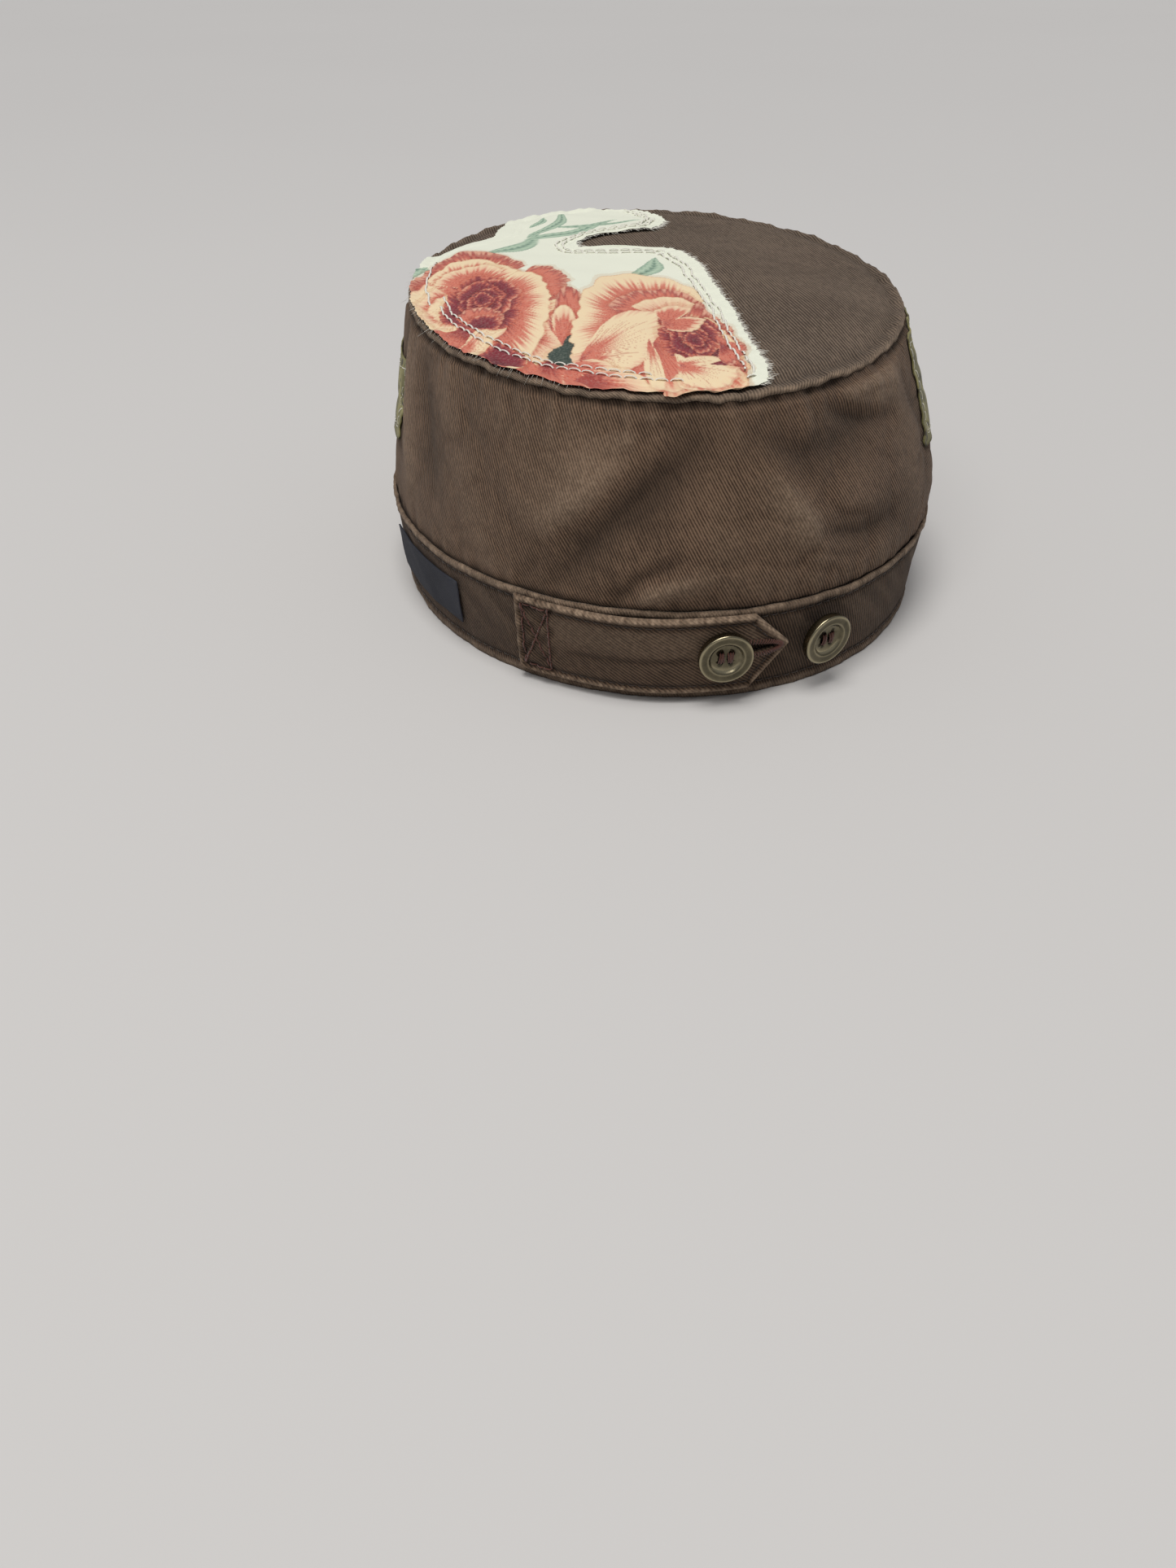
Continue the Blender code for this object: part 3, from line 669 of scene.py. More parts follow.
def brass_finish():
    """Aged brass: brushed and patinated, darker where the tone is below 0, for a painted dark
    reflection and a darker middle, and brighter where it is above 0, for rubbing and a painted
    highlight.
    """
    if "aged_brass" in bpy.data.materials:
        return bpy.data.materials["aged_brass"]
    looks = bpy.context.scene.cap_buttons
    material, tree, shader, _, own_place = new_finish("aged_brass", 0.3, metallic=1.0)
    stretch = node(tree, "ShaderNodeMapping")
    stretch.inputs["Scale"].default_value = (1.0, 1.0, 7.0)
    tree.links.new(own_place, stretch.inputs["Vector"])
    brushing = noise(tree, stretch.outputs[0], 900.0, 3.0)
    patina = noise(tree, own_place, 330.0, 4.0, 0.65)
    share = maths(tree, "MULTIPLY_ADD", patina, 1.9, -0.45)
    colour = blend_colour(tree, share, looks.patina, looks.metal)
    tone = tone_value(tree)
    # Tone below 0: painted dark reflection on the flat ring, and a darker middle.
    painted_dark_reflection = maths(tree, "MAXIMUM", maths(tree, "MULTIPLY", tone, -1.0), 0.0)
    colour = blend_colour(tree, painted_dark_reflection, colour, tuple(0.5 * part for part in looks.patina))
    # Tone above 0: rubbed rims and a painted highlight.
    rubbing_and_painted_light = maths(tree, "MAXIMUM", tone, 0.0)
    colour = blend_colour(tree, rubbing_and_painted_light, colour, tuple(2.2 * part for part in looks.metal))
    tree.links.new(colour, shader.inputs["Base Color"])
    tree.links.new(maths(tree, "MULTIPLY_ADD", patina, -0.22, 0.38),
                   shader.inputs["Roughness"])
    connect_bump(tree, shader, brushing, 0.008 * MM)
    return material


def cap_twill(part):
    """The cap's own twill, whose ribs lean a different way on each cut piece. The band and tab get
    darker copies of it as painted shade, and the top a greyer copy as a painted reflection.
    """
    looks = bpy.context.scene.cap_cloth
    leans = {"wall": 1.10, "top": 1.42, "band": 1.12, "tab": 0.62, "visor": 0.6}
    shade = looks.band_painted_shade
    # Tints: the band and tab copies are darkened as painted shade, and the top's copy is greyed as
    # a painted reflection.
    tint = {"top": (0.95, 1.10, 1.25), "band": (shade,) * 3,
            "tab": (1.12 * shade,) * 3}.get(part, (1.0, 1.0, 1.0))
    deep, pale = (tuple(value * share for value, share in zip(tone, tint))
                  for tone in (looks.deep, looks.pale))
    return twill_finish("twill_" + part, looks.rib_spacing, leans[part], deep, pale,
                        tuple(looks.wear_and_highlight))


# ---------------------------------------------------------------- printed flowers

# Inks, as linear colours from the darkest to the palest.
INKS = {
    "wine": (0.110, 0.012, 0.024), "crimson": (0.230, 0.022, 0.040),
    "brick": (0.400, 0.070, 0.058), "salmon": (0.68, 0.195, 0.130),
    "blush": (0.76, 0.38, 0.26), "peach": (0.85, 0.54, 0.36), "cream": (0.91, 0.72, 0.46),
    "pale": (0.93, 0.82, 0.62), "pine": (0.035, 0.060, 0.050), "sage": (0.27, 0.40, 0.30),
    "mint": (0.50, 0.64, 0.48), "moss": (0.15, 0.25, 0.19),
}

# Ink at shares of the way from a petal's base to its rim.
RAMPS = {
    "deep": ((0.0, "wine"), (0.5, "crimson"), (0.80, "crimson"), (0.93, "brick"),
             (1.0, "salmon")),
    "whorl": ((0.0, "wine"), (0.45, "crimson"), (0.72, "crimson"), (0.84, "brick"),
              (0.94, "salmon"), (1.0, "blush")),
    "curl": ((0.0, "brick"), (0.35, "brick"), (0.52, "salmon"), (0.70, "peach"),
             (1.0, "cream")),
    "dusk": ((0.0, "brick"), (0.5, "salmon"), (0.62, "cream"), (0.70, "salmon"),
             (0.88, "brick"), (1.0, "blush")),
    "stripe": ((0.0, "brick"), (0.46, "brick"), (0.58, "salmon"), (0.73, "salmon"),
               (0.80, "peach"), (0.87, "cream"), (1.0, "cream")),
    "flush": ((0.0, "brick"), (0.3, "salmon"), (0.72, "salmon"), (0.82, "peach"),
              (1.0, "cream")),
    "ripe": ((0.0, "crimson"), (0.30, "brick"), (0.55, "salmon"), (0.80, "salmon"),
             (0.90, "brick"), (1.0, "blush")),
    "cup": ((0.0, "brick"), (0.14, "salmon"), (0.30, "salmon"), (0.42, "peach"),
            (0.52, "cream"), (0.90, "cream"), (1.0, "peach")),
    "pine": ((0.0, "pine"), (1.0, "pine")),
}


def rose_heart(centre, half_x, half_y, rounds, phase):
    """Nested whorls at a rose's middle, each turned and set off from the one outside it."""
    petals = []
    for number in range(rounds):
        scale, turn = 0.76 ** number, 2.3 * number + phase
        middle = (centre[0] + 0.15 * scale * half_x * math.cos(turn),
                  centre[1] + 0.15 * scale * half_y * math.sin(turn))
        base = (middle[0] + 0.36 * scale * half_x * math.cos(turn + 0.6),
                middle[1] + 0.36 * scale * half_y * math.sin(turn + 0.6))
        rim = []
        for corner in range(9):
            around = 2.0 * math.pi * corner / 9.0
            lobe = scale * (1.0 + 0.11 * math.sin(3.0 * around + turn))
            rim.append((middle[0] + half_x * lobe * math.cos(around),
                        middle[1] + half_y * lobe * math.sin(around)))
        petals.append((base, rim, ("deep", "whorl")[number % 2]))
    return petals


# Petals from the bottom of the pile up: base, rim and ramp, in mm on the top panel from its
# centre, x to the wearer's left and y to the rear.
ROSES = (
    ((54, 40), ((76, -6), (77, 20), (72, 46), (60, 64), (52, 78), (40, 88), (30, 92), (31, 70),
                (36, 30), (40, -6), (56, -20)), "flush"),
    ((8, 66), ((30, 58), (34, 78), (26, 95), (2, 96), (-10, 90), (-13, 70), (-8, 44),
               (8, 34)), "flush"),
    ((44, 58), ((56, 66), (50, 84), (42, 84), (34, 80), (34, 66), (37, 58)), "flush"),
    ((38, 66), ((44, 72), (40, 84), (34, 86), (31, 76), (33, 68)), "ripe"),
    ((54, 4), ((76, 4), (73, -12), (65, -26), (54, -33), (45, -24), (38, -10)), "dusk"),
    ((58, 8), ((70, -4), (63, -18), (53, -22), (46, -14), (41, -4)), "stripe"),
    ((56, 6), ((68, 0), (60, -12), (51, -15), (45, -7)), "flush"),
    ((60, 20), ((69, -6), (76, 4), (77, 20), (72, 38), (62, 48)), "cup"),
    ((61, 22), ((66, 0), (71, 8), (71, 22), (67, 34), (62, 38)), "flush"),
    ((60, 24), ((63, 8), (68, 14), (68, 26), (64, 33)), "cup"),
    ((44, 14), ((38, -11), (31, -7), (28, 2), (28, 14), (30, 25), (36, 28)), "ripe"),
    ((46, 38), ((33, 24), (30, 31), (30, 42), (32, 52), (36, 62), (43, 66)), "stripe"),
    ((44, 46), ((36, 40), (33, 50), (36, 64), (43, 68)), "curl"),
    ((54, 24), ((43, -8), (37, -2), (35, 12), (35, 28), (38, 44), (41, 58), (45, 70),
                (52, 72)), "stripe"),
    ((60, 38), ((68, 38), (63, 52), (55, 64), (49, 66), (48, 52)), "ripe"),
    ((62, 56), ((57, 42), (50, 36), (47, 30), (46, 36), (52, 50), (60, 60)), "cup"),
    ((52, 66), ((56, 60), (51, 52), (46, 58), (46, 70)), "deep"),
    *rose_heart((53, 17), 10.0, 24.0, 6, 0.9),
    ((57, 40), ((62, 30), (58, 22), (51, 26), (48, 35), (51, 41)), "ripe"),
    ((55, 40), ((59, 36), (54, 30), (49, 36), (51, 42)), "whorl"),
    ((31, 60), ((36, 46), (32, 30), (31, 17), (27, 13), (24, 19), (24, 30), (27, 46)), "ripe"),
    ((33, 58), ((35, 46), (33, 33), (30, 27), (28, 36), (29, 48)), "flush"),
    ((32, 64), ((37, 66), (33, 57), (31, 50), (29, 60), (31, 74), (35, 70)), "pine"),
    ((5, 50), ((30, 66), (31, 56), (29, 46), (26, 34), (23, 20), (17, 5), (9, 0), (0, 7),
               (-7, 16), (-11, 32)), "stripe"),
    ((2, 52), ((18, 36), (10, 20), (1, 18), (-7, 26), (-10, 40)), "ripe"),
    ((1, 50), ((12, 36), (4, 27), (-4, 28), (-8, 40)), "curl"),
    ((1, 62), ((-6, 30), (-12, 42), (-14, 56), (-13, 72), (-10, 86)), "dusk"),
    ((2, 64), ((-8, 40), (-12, 52), (-12, 66), (-9, 78)), "stripe"),
    ((30, 68), ((21, 44), (12, 38), (5, 40), (5, 50), (9, 62), (13, 72), (22, 79)), "cup"),
    ((34, 70), ((28, 68), (20, 78), (16, 88), (26, 92), (36, 84)), "flush"),
    ((32, 78), ((24, 74), (14, 82), (12, 92), (24, 94)), "curl"),
    ((9, 62), ((6, 56), (2, 64), (2, 80), (6, 90), (12, 88), (12, 72)), "flush"),
    ((10, 60), ((12, 70), (14, 82), (18, 92), (12, 92), (8, 78)), "cup"),
    ((-2, 76), ((6, 80), (2, 92), (-6, 92), (-12, 86), (-10, 78)), "flush"),
    *rose_heart((-2.5, 59), 9.0, 20.0, 6, 2.2),
    ((4, 50), ((6, 40), (0, 34), (-6, 37), (-9, 44), (-7, 47), (-2, 44), (2, 48), (4, 53)),
     "flush"),
    ((4, 76), ((5, 68), (2, 72), (-3, 76), (-9, 72), (-11, 78), (-8, 86), (0, 88), (6, 82)),
     "cup"),
    ((-9, 64), ((-9, 54), (-12, 60), (-12, 72), (-9, 78), (-7, 70)), "ripe"),
)

# Leaves: base, tip and half width.
LEAVES = (
    ((50, -27), (31, -52), 3.6), ((37, -45), (3, -65), 3.4), ((26, -58), (-6, -62), 2.2),
    ((36, -47), (20, -84), 2.2), ((34, -60), (28, -74), 1.6), ((7, 6), (-3, -13), 3.8),
    ((70, -24), (76, -10), 3.2),
)


def paint_petal(x, y, colours, petal, seed):
    """Print one petal over what is there: its ramp from base to rim, broken into strokes."""
    (base_x, base_y), rim, ramp = petal
    rim = np.array(rim, float) - (base_x, base_y)
    middle = rim.mean(axis=0)
    facing = math.atan2(middle[1], middle[0])
    turns = (np.arctan2(rim[:, 1], rim[:, 0]) - facing + math.pi) % (2.0 * math.pi) - math.pi
    order = np.argsort(turns)
    turns, reach = turns[order], np.hypot(rim[:, 0], rim[:, 1])[order]
    whole = turns[-1] - turns[0] > 4.6
    fine = np.linspace(-math.pi, math.pi, 721)
    if whole:
        span = np.concatenate((turns - 2.0 * math.pi, turns, turns + 2.0 * math.pi))
        edge = np.interp(fine, span, np.tile(reach, 3))
    else:
        edge = np.interp(fine, turns, reach, left=0.0, right=0.0)
    edge = smoothed(edge, 25, "wrap")
    turn = (np.arctan2(y - base_y, x - base_x) - facing + math.pi) % (2.0 * math.pi) - math.pi
    radius = np.hypot(x - base_x, y - base_y)
    size = float(reach.mean())
    limit = np.interp(turn, fine, edge) * (1.0 + ripple(turn, seed, (1.3, 2.7, 4.1), 0.045))
    share = np.where(limit > 0.3, radius / np.maximum(limit, 0.3), 9.0)
    shadow = (share > 1.0) & (share < 1.0 + 1.6 / max(size, 4.0)) & (limit > 1.0)
    colours[shadow] *= np.array((0.93, 0.86, 0.82))
    inside = share <= 1.0
    strokes = np.tanh(2.2 * ripple(turn, seed + 40, (0.33 * size, 0.52 * size, 0.8 * size)))
    drift = 0.05 * ripple(turn, seed + 80, (1.1, 2.3))
    level = np.clip(share + 0.085 * strokes + drift, 0.0, 1.0)[inside]
    stops = [stop for stop, _ in RAMPS[ramp]]
    for channel in range(3):
        inks = [INKS[ink][channel] for _, ink in RAMPS[ramp]]
        colours[inside, channel] = np.interp(level, stops, inks)
    hatch = ripple(turn, seed + 120, (0.9 * size, 1.35 * size))
    reach_out = 0.70 + 0.16 * ripple(turn, seed + 150, (0.6 * size, 1.1 * size))
    hatched = inside & (hatch > 0.34) & (share < reach_out) & (share > 0.22)
    if ramp != "pine":
        colours[hatched] *= np.array((0.80, 0.60, 0.60))
    outline = inside & (share > 1.0 - 0.40 / max(size, 3.0))
    colours[outline] *= np.array((0.84, 0.72, 0.70))


def paint_leaf(x, y, colours, leaf):
    """Print one leaf or frond: a pointed oval with a midrib and slanting veins."""
    (start_x, start_y), (end_x, end_y), half_width = leaf
    length = math.hypot(end_x - start_x, end_y - start_y)
    ahead = ((end_x - start_x) / length, (end_y - start_y) / length)
    run = ((x - start_x) * ahead[0] + (y - start_y) * ahead[1]) / length
    side = (x - start_x) * -ahead[1] + (y - start_y) * ahead[0]
    side = side + 0.12 * length * np.sin(math.pi * np.clip(run, 0.0, 1.0)) ** 2
    width = half_width * np.sin(math.pi * np.clip(run, 0.0, 1.0) ** 0.8) + 0.05
    inside = (run > 0.0) & (run < 1.0) & (np.abs(side) < width)
    across = np.abs(side) / width
    veins = np.sin(2.0 * math.pi * (run * length / 2.6 - np.abs(side) / 2.2))
    for channel in range(3):
        mid = np.interp(across + 0.12 * veins, (0.0, 0.12, 0.5, 1.0), [
            INKS[ink][channel] for ink in ("moss", "sage", "mint", "sage")])
        colours[inside, channel] = mid[inside]


def print_roses(x, y, ground):
    """Colours of the printed cotton at plan positions in mm."""
    colours = np.tile(np.array(ground, float), (len(x), 1))
    for leaf in LEAVES:
        paint_leaf(x, y, colours, leaf)
    for number, petal in enumerate(ROSES):
        paint_petal(x, y, colours, petal, 7 * number + 1)
    return colours


def set_ink(data, colours):
    layer = data.color_attributes.new("ink", "FLOAT_COLOR", "POINT")
    full = np.ones((len(data.vertices), 4), np.float32)
    full[:, :3] = colours
    layer.data.foreach_set("color", full.ravel())


# ---------------------------------------------------------------- folds of the side wall

# Each fold: depth in mm (negative for a raised fold), half width in mm, and its line as
# (angle round the crown, rise up the wall).
FOLDS = (
    (2.1, 7.5, ((64.0, 0.16), (67.5, 0.29), (71.8, 0.42), (77.2, 0.53), (81.0, 0.62),
                (88.0, 0.80))),
    (1.1, 2.6, ((72.0, -0.02), (77.0, 0.17), (83.2, 0.25))),
    (-0.9, 3.4, ((75.5, -0.02), (80.5, 0.12), (88.0, 0.18))),
    (1.7, 8.5, ((101.0, 0.80), (108.8, 0.70), (121.0, 0.72))),
    (-1.2, 5.0, ((102.5, 0.64), (106.5, 0.46), (111.0, 0.26))),
    (1.5, 5.0, ((111.5, 0.32), (119.8, 0.26), (129.0, 0.26))),
    (-1.3, 6.0, ((120.0, 0.93), (128.0, 0.94), (138.0, 0.88))),
    (1.2, 3.4, ((117.0, 0.86), (124.0, 0.78), (134.0, 0.72))),
    (-1.2, 7.0, ((61.0, 0.40), (67.0, 0.56), (74.5, 0.80))),
    (1.4, 6.0, ((23.5, 0.80), (27.0, 0.55), (31.0, 0.30))),
    (-1.0, 5.0, ((14.0, 0.86), (17.0, 0.55), (20.0, 0.26))),
    (1.6, 5.5, ((5.0, 0.86), (6.5, 0.62), (9.0, 0.30))),
    (1.1, 5.0, ((143.0, 0.82), (150.0, 0.52), (149.0, 0.24))),
    (1.5, 5.0, ((160.0, 0.90), (166.0, 0.62), (163.0, 0.30))),
    (1.2, 6.0, ((183.0, 0.78), (189.0, 0.48), (195.0, 0.22))),
    (1.3, 7.0, ((228.0, 0.86), (238.0, 0.58), (241.0, 0.24))),
    (1.0, 7.0, ((268.0, 0.78), (280.0, 0.52), (300.0, 0.40))),
    (1.3, 7.0, ((318.0, 0.82), (325.0, 0.50), (322.0, 0.20))),
    (1.1, 6.0, ((346.0, 0.80), (351.0, 0.50), (349.0, 0.22))),
)
FOLD_DEPTH = 1.6  # times the depths above
CRUMPLE_DEPTH = 1.1 * MM
WALL_PER_DEGREE = 1.45  # mm of the wall to a degree round the crown, at its middle height
WALL_RISE = 57.0  # mm up the wall from the band to the top seam
CLOTH_PER_DEGREE = 1.6 * MM  # the same for the twill's own coordinates


def fold_relief(angle, rise):
    """How far the folds press the wall inwards, in metres."""
    total = np.zeros_like(angle)
    for depth, width, line in FOLDS:
        across = ((angle - line[0][0] + 180.0) % 360.0 - 180.0) * WALL_PER_DEGREE
        up = rise * WALL_RISE
        points = np.array([((a - line[0][0]) * WALL_PER_DEGREE, r * WALL_RISE)
                           for a, r in line])
        nearest = np.full_like(angle, 1e9)
        run_at = np.zeros_like(angle)
        run = 0.0
        lengths = np.linalg.norm(np.diff(points, axis=0), axis=1)
        for start, end, length in zip(points, points[1:], lengths):
            share = np.clip(((across - start[0]) * (end - start)[0]
                             + (up - start[1]) * (end - start)[1]) / length ** 2, 0.0, 1.0)
            gap = np.hypot(across - mix(start[0], end[0], share),
                           up - mix(start[1], end[1], share))
            closer = gap < nearest
            nearest = np.where(closer, gap, nearest)
            run_at = np.where(closer, run + share * length, run_at)
            run += length
        ends = 0.35 + 0.65 * np.sin(math.pi * np.clip(run_at / run, 0.04, 0.96)) ** 0.5
        crease = np.exp(-1.5 * (np.hypot(nearest, 0.7) - 0.7) / width)
        total += depth * ends * mix(np.exp(-(nearest / width) ** 2), crease, 0.55)
    return FOLD_DEPTH * total * MM


def crumple(across, up):
    """Small sharp creases of a washed cloth, in mm: here and there, mostly on the bias."""
    total = np.zeros_like(across)
    for number, (lean, pitch) in enumerate(((0.9, 17.0), (2.2, 23.0), (0.3, 29.0),
                                            (1.5, 13.0))):
        line = across * math.cos(lean) + up * math.sin(lean)
        side = up * math.cos(lean) - across * math.sin(lean)
        bend = 1.1 * np.sin(side / 8.3 + 2.0 * number) + 0.6 * np.sin(side / 3.9 + number)
        crease = 1.0 - np.abs(np.sin(math.pi * line / pitch + bend))
        patch = 0.5 + 0.5 * np.sin(side / 11.0 + 1.7 * number) * np.sin(line / 15.0 + number)
        total += crease ** 3 * patch ** 1.5 * (0.55, 0.5, 0.35, 0.4)[number]
    return total


def wall_relief(angle, rise):
    """Folds, gathers under the top seam and over the band, and the cloth's slow waves."""
    turn = angle / 360.0
    waves = ripple(turn + 0.06 * rise, 5, (9, 14, 23), 0.35 * MM)
    under_seam = ripple(turn + 0.01 * rise, 6, (52, 71, 93), 0.42 * MM) * ease(rise, 0.62, 1.0)
    under_seam += 0.5 * MM * np.abs(ripple(turn, 7, (40, 63, 88))) * ease(rise, 0.80, 0.94)
    small = CRUMPLE_DEPTH * crumple(angle * WALL_PER_DEGREE, rise * WALL_RISE)
    at_band = ripple(turn, 8, (64, 101), 0.30 * MM) * (1.0 - ease(rise, 0.0, 0.22))
    quiet = ease(rise, -0.02, 0.08) * (1.0 - 0.75 * ease(rise, 0.90, 1.0))
    return fold_relief(angle, rise) * quiet + (
        waves + under_seam + at_band + small * quiet) * ease(rise, -0.05, 0.03)


def wall_place(start, end, low, high):
    def place(across, along, depth):
        angle, rise = mix(start, end, across), mix(low, high, along)
        pressed = wall_relief(angle, rise) + ROLL_TUCK * ease(rise, 0.945, 0.97)
        return crown_point(angle, rise, depth + pressed)
    return place


def wall_uv(start, end, low, high):
    def uv(across, along):
        angle, rise = mix(start, end, across), mix(low, high, along)
        return CLOTH_PER_DEGREE * angle, WALL_RISE * MM * rise
    return uv


# ---------------------------------------------------------------- crown

ROLL_RADIUS = 0.85 * MM
ROLL_TUCK = 1.0 * MM  # how far the wall steps in under the roll
PANEL_SHARE = 0.90  # share of the top cloth that lies flat; the rest goes round the roll


def seam_wander(angle):
    """How far the top seam strays up and down round the crown."""
    turn = np.asarray(angle) / 360.0
    return ripple(turn, 21, (11, 23, 47), 0.60 * MM) + ripple(turn, 22, (83, 131), 0.20 * MM)


def top_edge(angle, wrap, depth):
    """The rolled edge of the top panel: wrap is 0 on the panel and 1 under the roll."""
    roll = ROLL_RADIUS * (1.0 + ripple(np.asarray(angle) / 360.0, 23, (37, 61, 97), 0.13))
    turn = np.radians(-90.0 + 205.0 * wrap)
    edge_y = CROWN_Y + SEAM_HALF_Y * np.sin(np.radians(angle))
    height = seam_height(edge_y) + GAP + PANEL_CLOTH - roll + seam_wander(angle)
    outwards = (roll - depth) * np.cos(turn) - 0.2 * MM
    upwards = -(roll - depth) * np.sin(turn)
    return on_ellipse(angle, SEAM_HALF_X - SEAM_INSET + outwards,
                      SEAM_HALF_Y - SEAM_INSET + outwards, height + upwards, CROWN_LEAN)


def top_relief(x, y):
    """Slow waves of the top panel, and the hollow behind its rolled edge."""
    ring = np.sqrt((x / SEAM_HALF_X) ** 2 + (y / SEAM_HALF_Y) ** 2)
    waves = 0.5 * MM * np.sin(2 * math.pi * (x / 0.071 + y / 0.113) + 0.7)
    waves += 0.4 * MM * np.sin(2 * math.pi * (x / -0.047 + y / 0.083) + 2.1)
    turn = np.arctan2(y, x) / (2.0 * math.pi)
    puckers = ripple(turn, 24, (41, 67, 89), 0.30 * MM) * ridge(ring, 0.955, 0.035)
    hollow = 0.75 * MM * ridge(ring, 0.945, 0.028)
    return waves * (1.0 - ease(ring, 0.82, 0.96)) + puckers + hollow


def top_place(across, along, depth):
    angle = 360.0 * across
    share = np.clip(along / PANEL_SHARE, 0.0, 1.0)
    inset = 1.0 - SEAM_INSET / SEAM_HALF_X
    x = SEAM_HALF_X * inset * share * np.cos(np.radians(angle))
    y = SEAM_HALF_Y * inset * share * np.sin(np.radians(angle))
    panel = top_point(x, y, depth + top_relief(x, y))
    panel[:, 2] += seam_wander(angle) * ease(share, 0.94, 1.0)
    wrap = np.clip((along - PANEL_SHARE) / (1.0 - PANEL_SHARE), 0.0, 1.0)
    rolled = top_edge(angle, wrap, depth)
    return np.where((along > PANEL_SHARE)[:, None], rolled, panel)


def top_uv(across, along):
    turn = 2.0 * math.pi * across
    return SEAM_HALF_X * along * np.cos(turn), SEAM_HALF_Y * along * np.sin(turn)


def top_tone(across, along):
    wear_and_highlight = 0.85 * ridge(along, PANEL_SHARE + 0.030, 0.030)
    wear_and_highlight *= 0.7 + ripple(across, 26, (23, 57, 91), 0.6)
    # The roll's lip is worn lighter; the negative ridge is painted shade in the hollow behind the
    # roll.
    return wear_and_highlight - 0.3 * ridge(along, PANEL_SHARE - 0.035, 0.02)


def make_top_panel():
    columns, rows = ((330, 96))
    piece = cloth("top_panel_cloth", cap_twill("top"), columns, rows, top_place,
                  (0.0, PANEL_CLOTH), top_uv, closing="disc", tone=top_tone)
    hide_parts("top_panel")


SIDE_SEAMS = (-20.0, 200.0)  # angles of the seams between the back and front panels
SEAM_HALF_GAP = 0.15
WALL_TUCK = -0.10  # rise of the wall's lower edge, hidden inside the band


def wall_tone(start, end, low, high):
    def tone(across, along):
        angle, rise = mix(start, end, across), mix(low, high, along)
        pressed = wall_relief(angle, rise)
        # Raised folds lighter as a painted highlight and pressed folds darker as painted shade;
        # foot is a painted shadow along the band's top, and the last term painted shade under the
        # seam roll.
        wear_and_highlight = np.clip((0.3 * MM - pressed) / (1.6 * MM), 0.0, 1.0) * 0.48
        painted_shade = np.clip((pressed - 0.3 * MM) / (2.4 * MM), 0.0, 1.0) * 0.72
        foot = 0.5 * (1.0 - ease(rise, 0.0, 0.055))
        return wear_and_highlight - painted_shade - foot - 0.75 * ease(rise, 0.945, 0.975)
    return tone


def make_walls():
    fine = 1.0
    left, right = SIDE_SEAMS
    for name, start, end, columns, flat in (
            ("back_panel", left, right, 345, (0.362, 0.063)),
            ("front_panel", right, left + 360.0, 215, (0.232, 0.060))):
        reach = (start + SEAM_HALF_GAP, end - SEAM_HALF_GAP, WALL_TUCK, 1.0)
        piece = cloth(name + "_cloth", cap_twill("wall"), int(columns * fine),
                      int(68 * fine), wall_place(*reach), (0.0, PANEL_CLOTH), wall_uv(*reach),
                      tone=wall_tone(*reach))
        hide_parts(name)


def wall_strip(name, finish, reach, depths, columns, rows, closing=None):
    """A lining or tape on the inside of the wall, following its folds."""
    piece = cloth(name + "_cloth", finish, columns, rows, wall_place(*reach), depths,
                  wall_uv(*reach), closing=closing)
    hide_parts(name)


def make_linings():
    near = PANEL_CLOTH + 1.5 * GAP
    tape = plain_finish("seam_tape", 0.5 * MM, (0.085, 0.062, 0.047), (0.03, 0.021, 0.016))
    stiff = plain_finish("stiff_interlining", 0.6 * MM, (0.62, 0.59, 0.53), (0.42, 0.40, 0.35))
    wall_strip("crown_seam_tape", tape, (0.0, 360.0, 0.84, 0.96),
               (near + GAP, near + GAP + 0.4 * MM), 300, 8, "ring")
    wall_strip("front_interlining", stiff, (207.0, 333.0, 0.16, 0.80),
               (near, near + 0.5 * MM), 130, 26)
    for side, angle in zip(("left", "right"), SIDE_SEAMS):
        wall_strip(side + "_side_seam_tape", tape, (angle - 3, angle + 3, 0.16, 0.80),
                   (near, near + 0.4 * MM), 10, 36)


# ---------------------------------------------------------------- band

BAND_PER_DEGREE = 1.64 * MM  # cloth of the band to a degree round the crown
BAND_STITCH_BELOW = 3.1 * MM  # its upper stitching, from its top edge
BAND_STITCH_ABOVE = BAND_STITCH_BELOW + 0.4 * MM  # its lower stitching, from its low edge


def band_relief(angle, height):
    """Rolled lips at both edges, the stitch grooves beside them and the roping between."""
    turn = angle / 360.0
    from_top = band_top(angle) - height
    from_low = height - arch(angle)
    roping = ripple(turn - 0.6 * height, 31, (96, 143, 177), 0.14 * MM)
    lips = 0.55 * ridge(from_top, 1.2 * MM, 1.3 * MM) + 0.40 * ridge(
        from_low, 1.4 * MM, 1.2 * MM)
    grooves = 0.42 * ridge(from_top, BAND_STITCH_BELOW, 0.7 * MM) + 0.36 * ridge(
        from_low, BAND_STITCH_ABOVE, 0.7 * MM)
    near_edge = ridge(from_top, 1.5 * MM, 3.0 * MM) + ridge(from_low, 1.5 * MM, 3.0 * MM)
    waves = ripple(turn + 1.1 * height, 32, (21, 34, 55), 0.22 * MM)
    return (grooves - lips) * MM + roping * near_edge + waves


def band_place(across, along, depth):
    angle = 360.0 * across
    height = mix(arch(angle), band_top(angle), along)
    shift = ripple(across, 33, (13, 31), 0.25 * MM) * along
    return band_at_height(angle, height + shift, depth + band_relief(angle, height))


def band_uv(across, along):
    return BAND_PER_DEGREE * 360.0 * across, BAND_HEIGHT * along


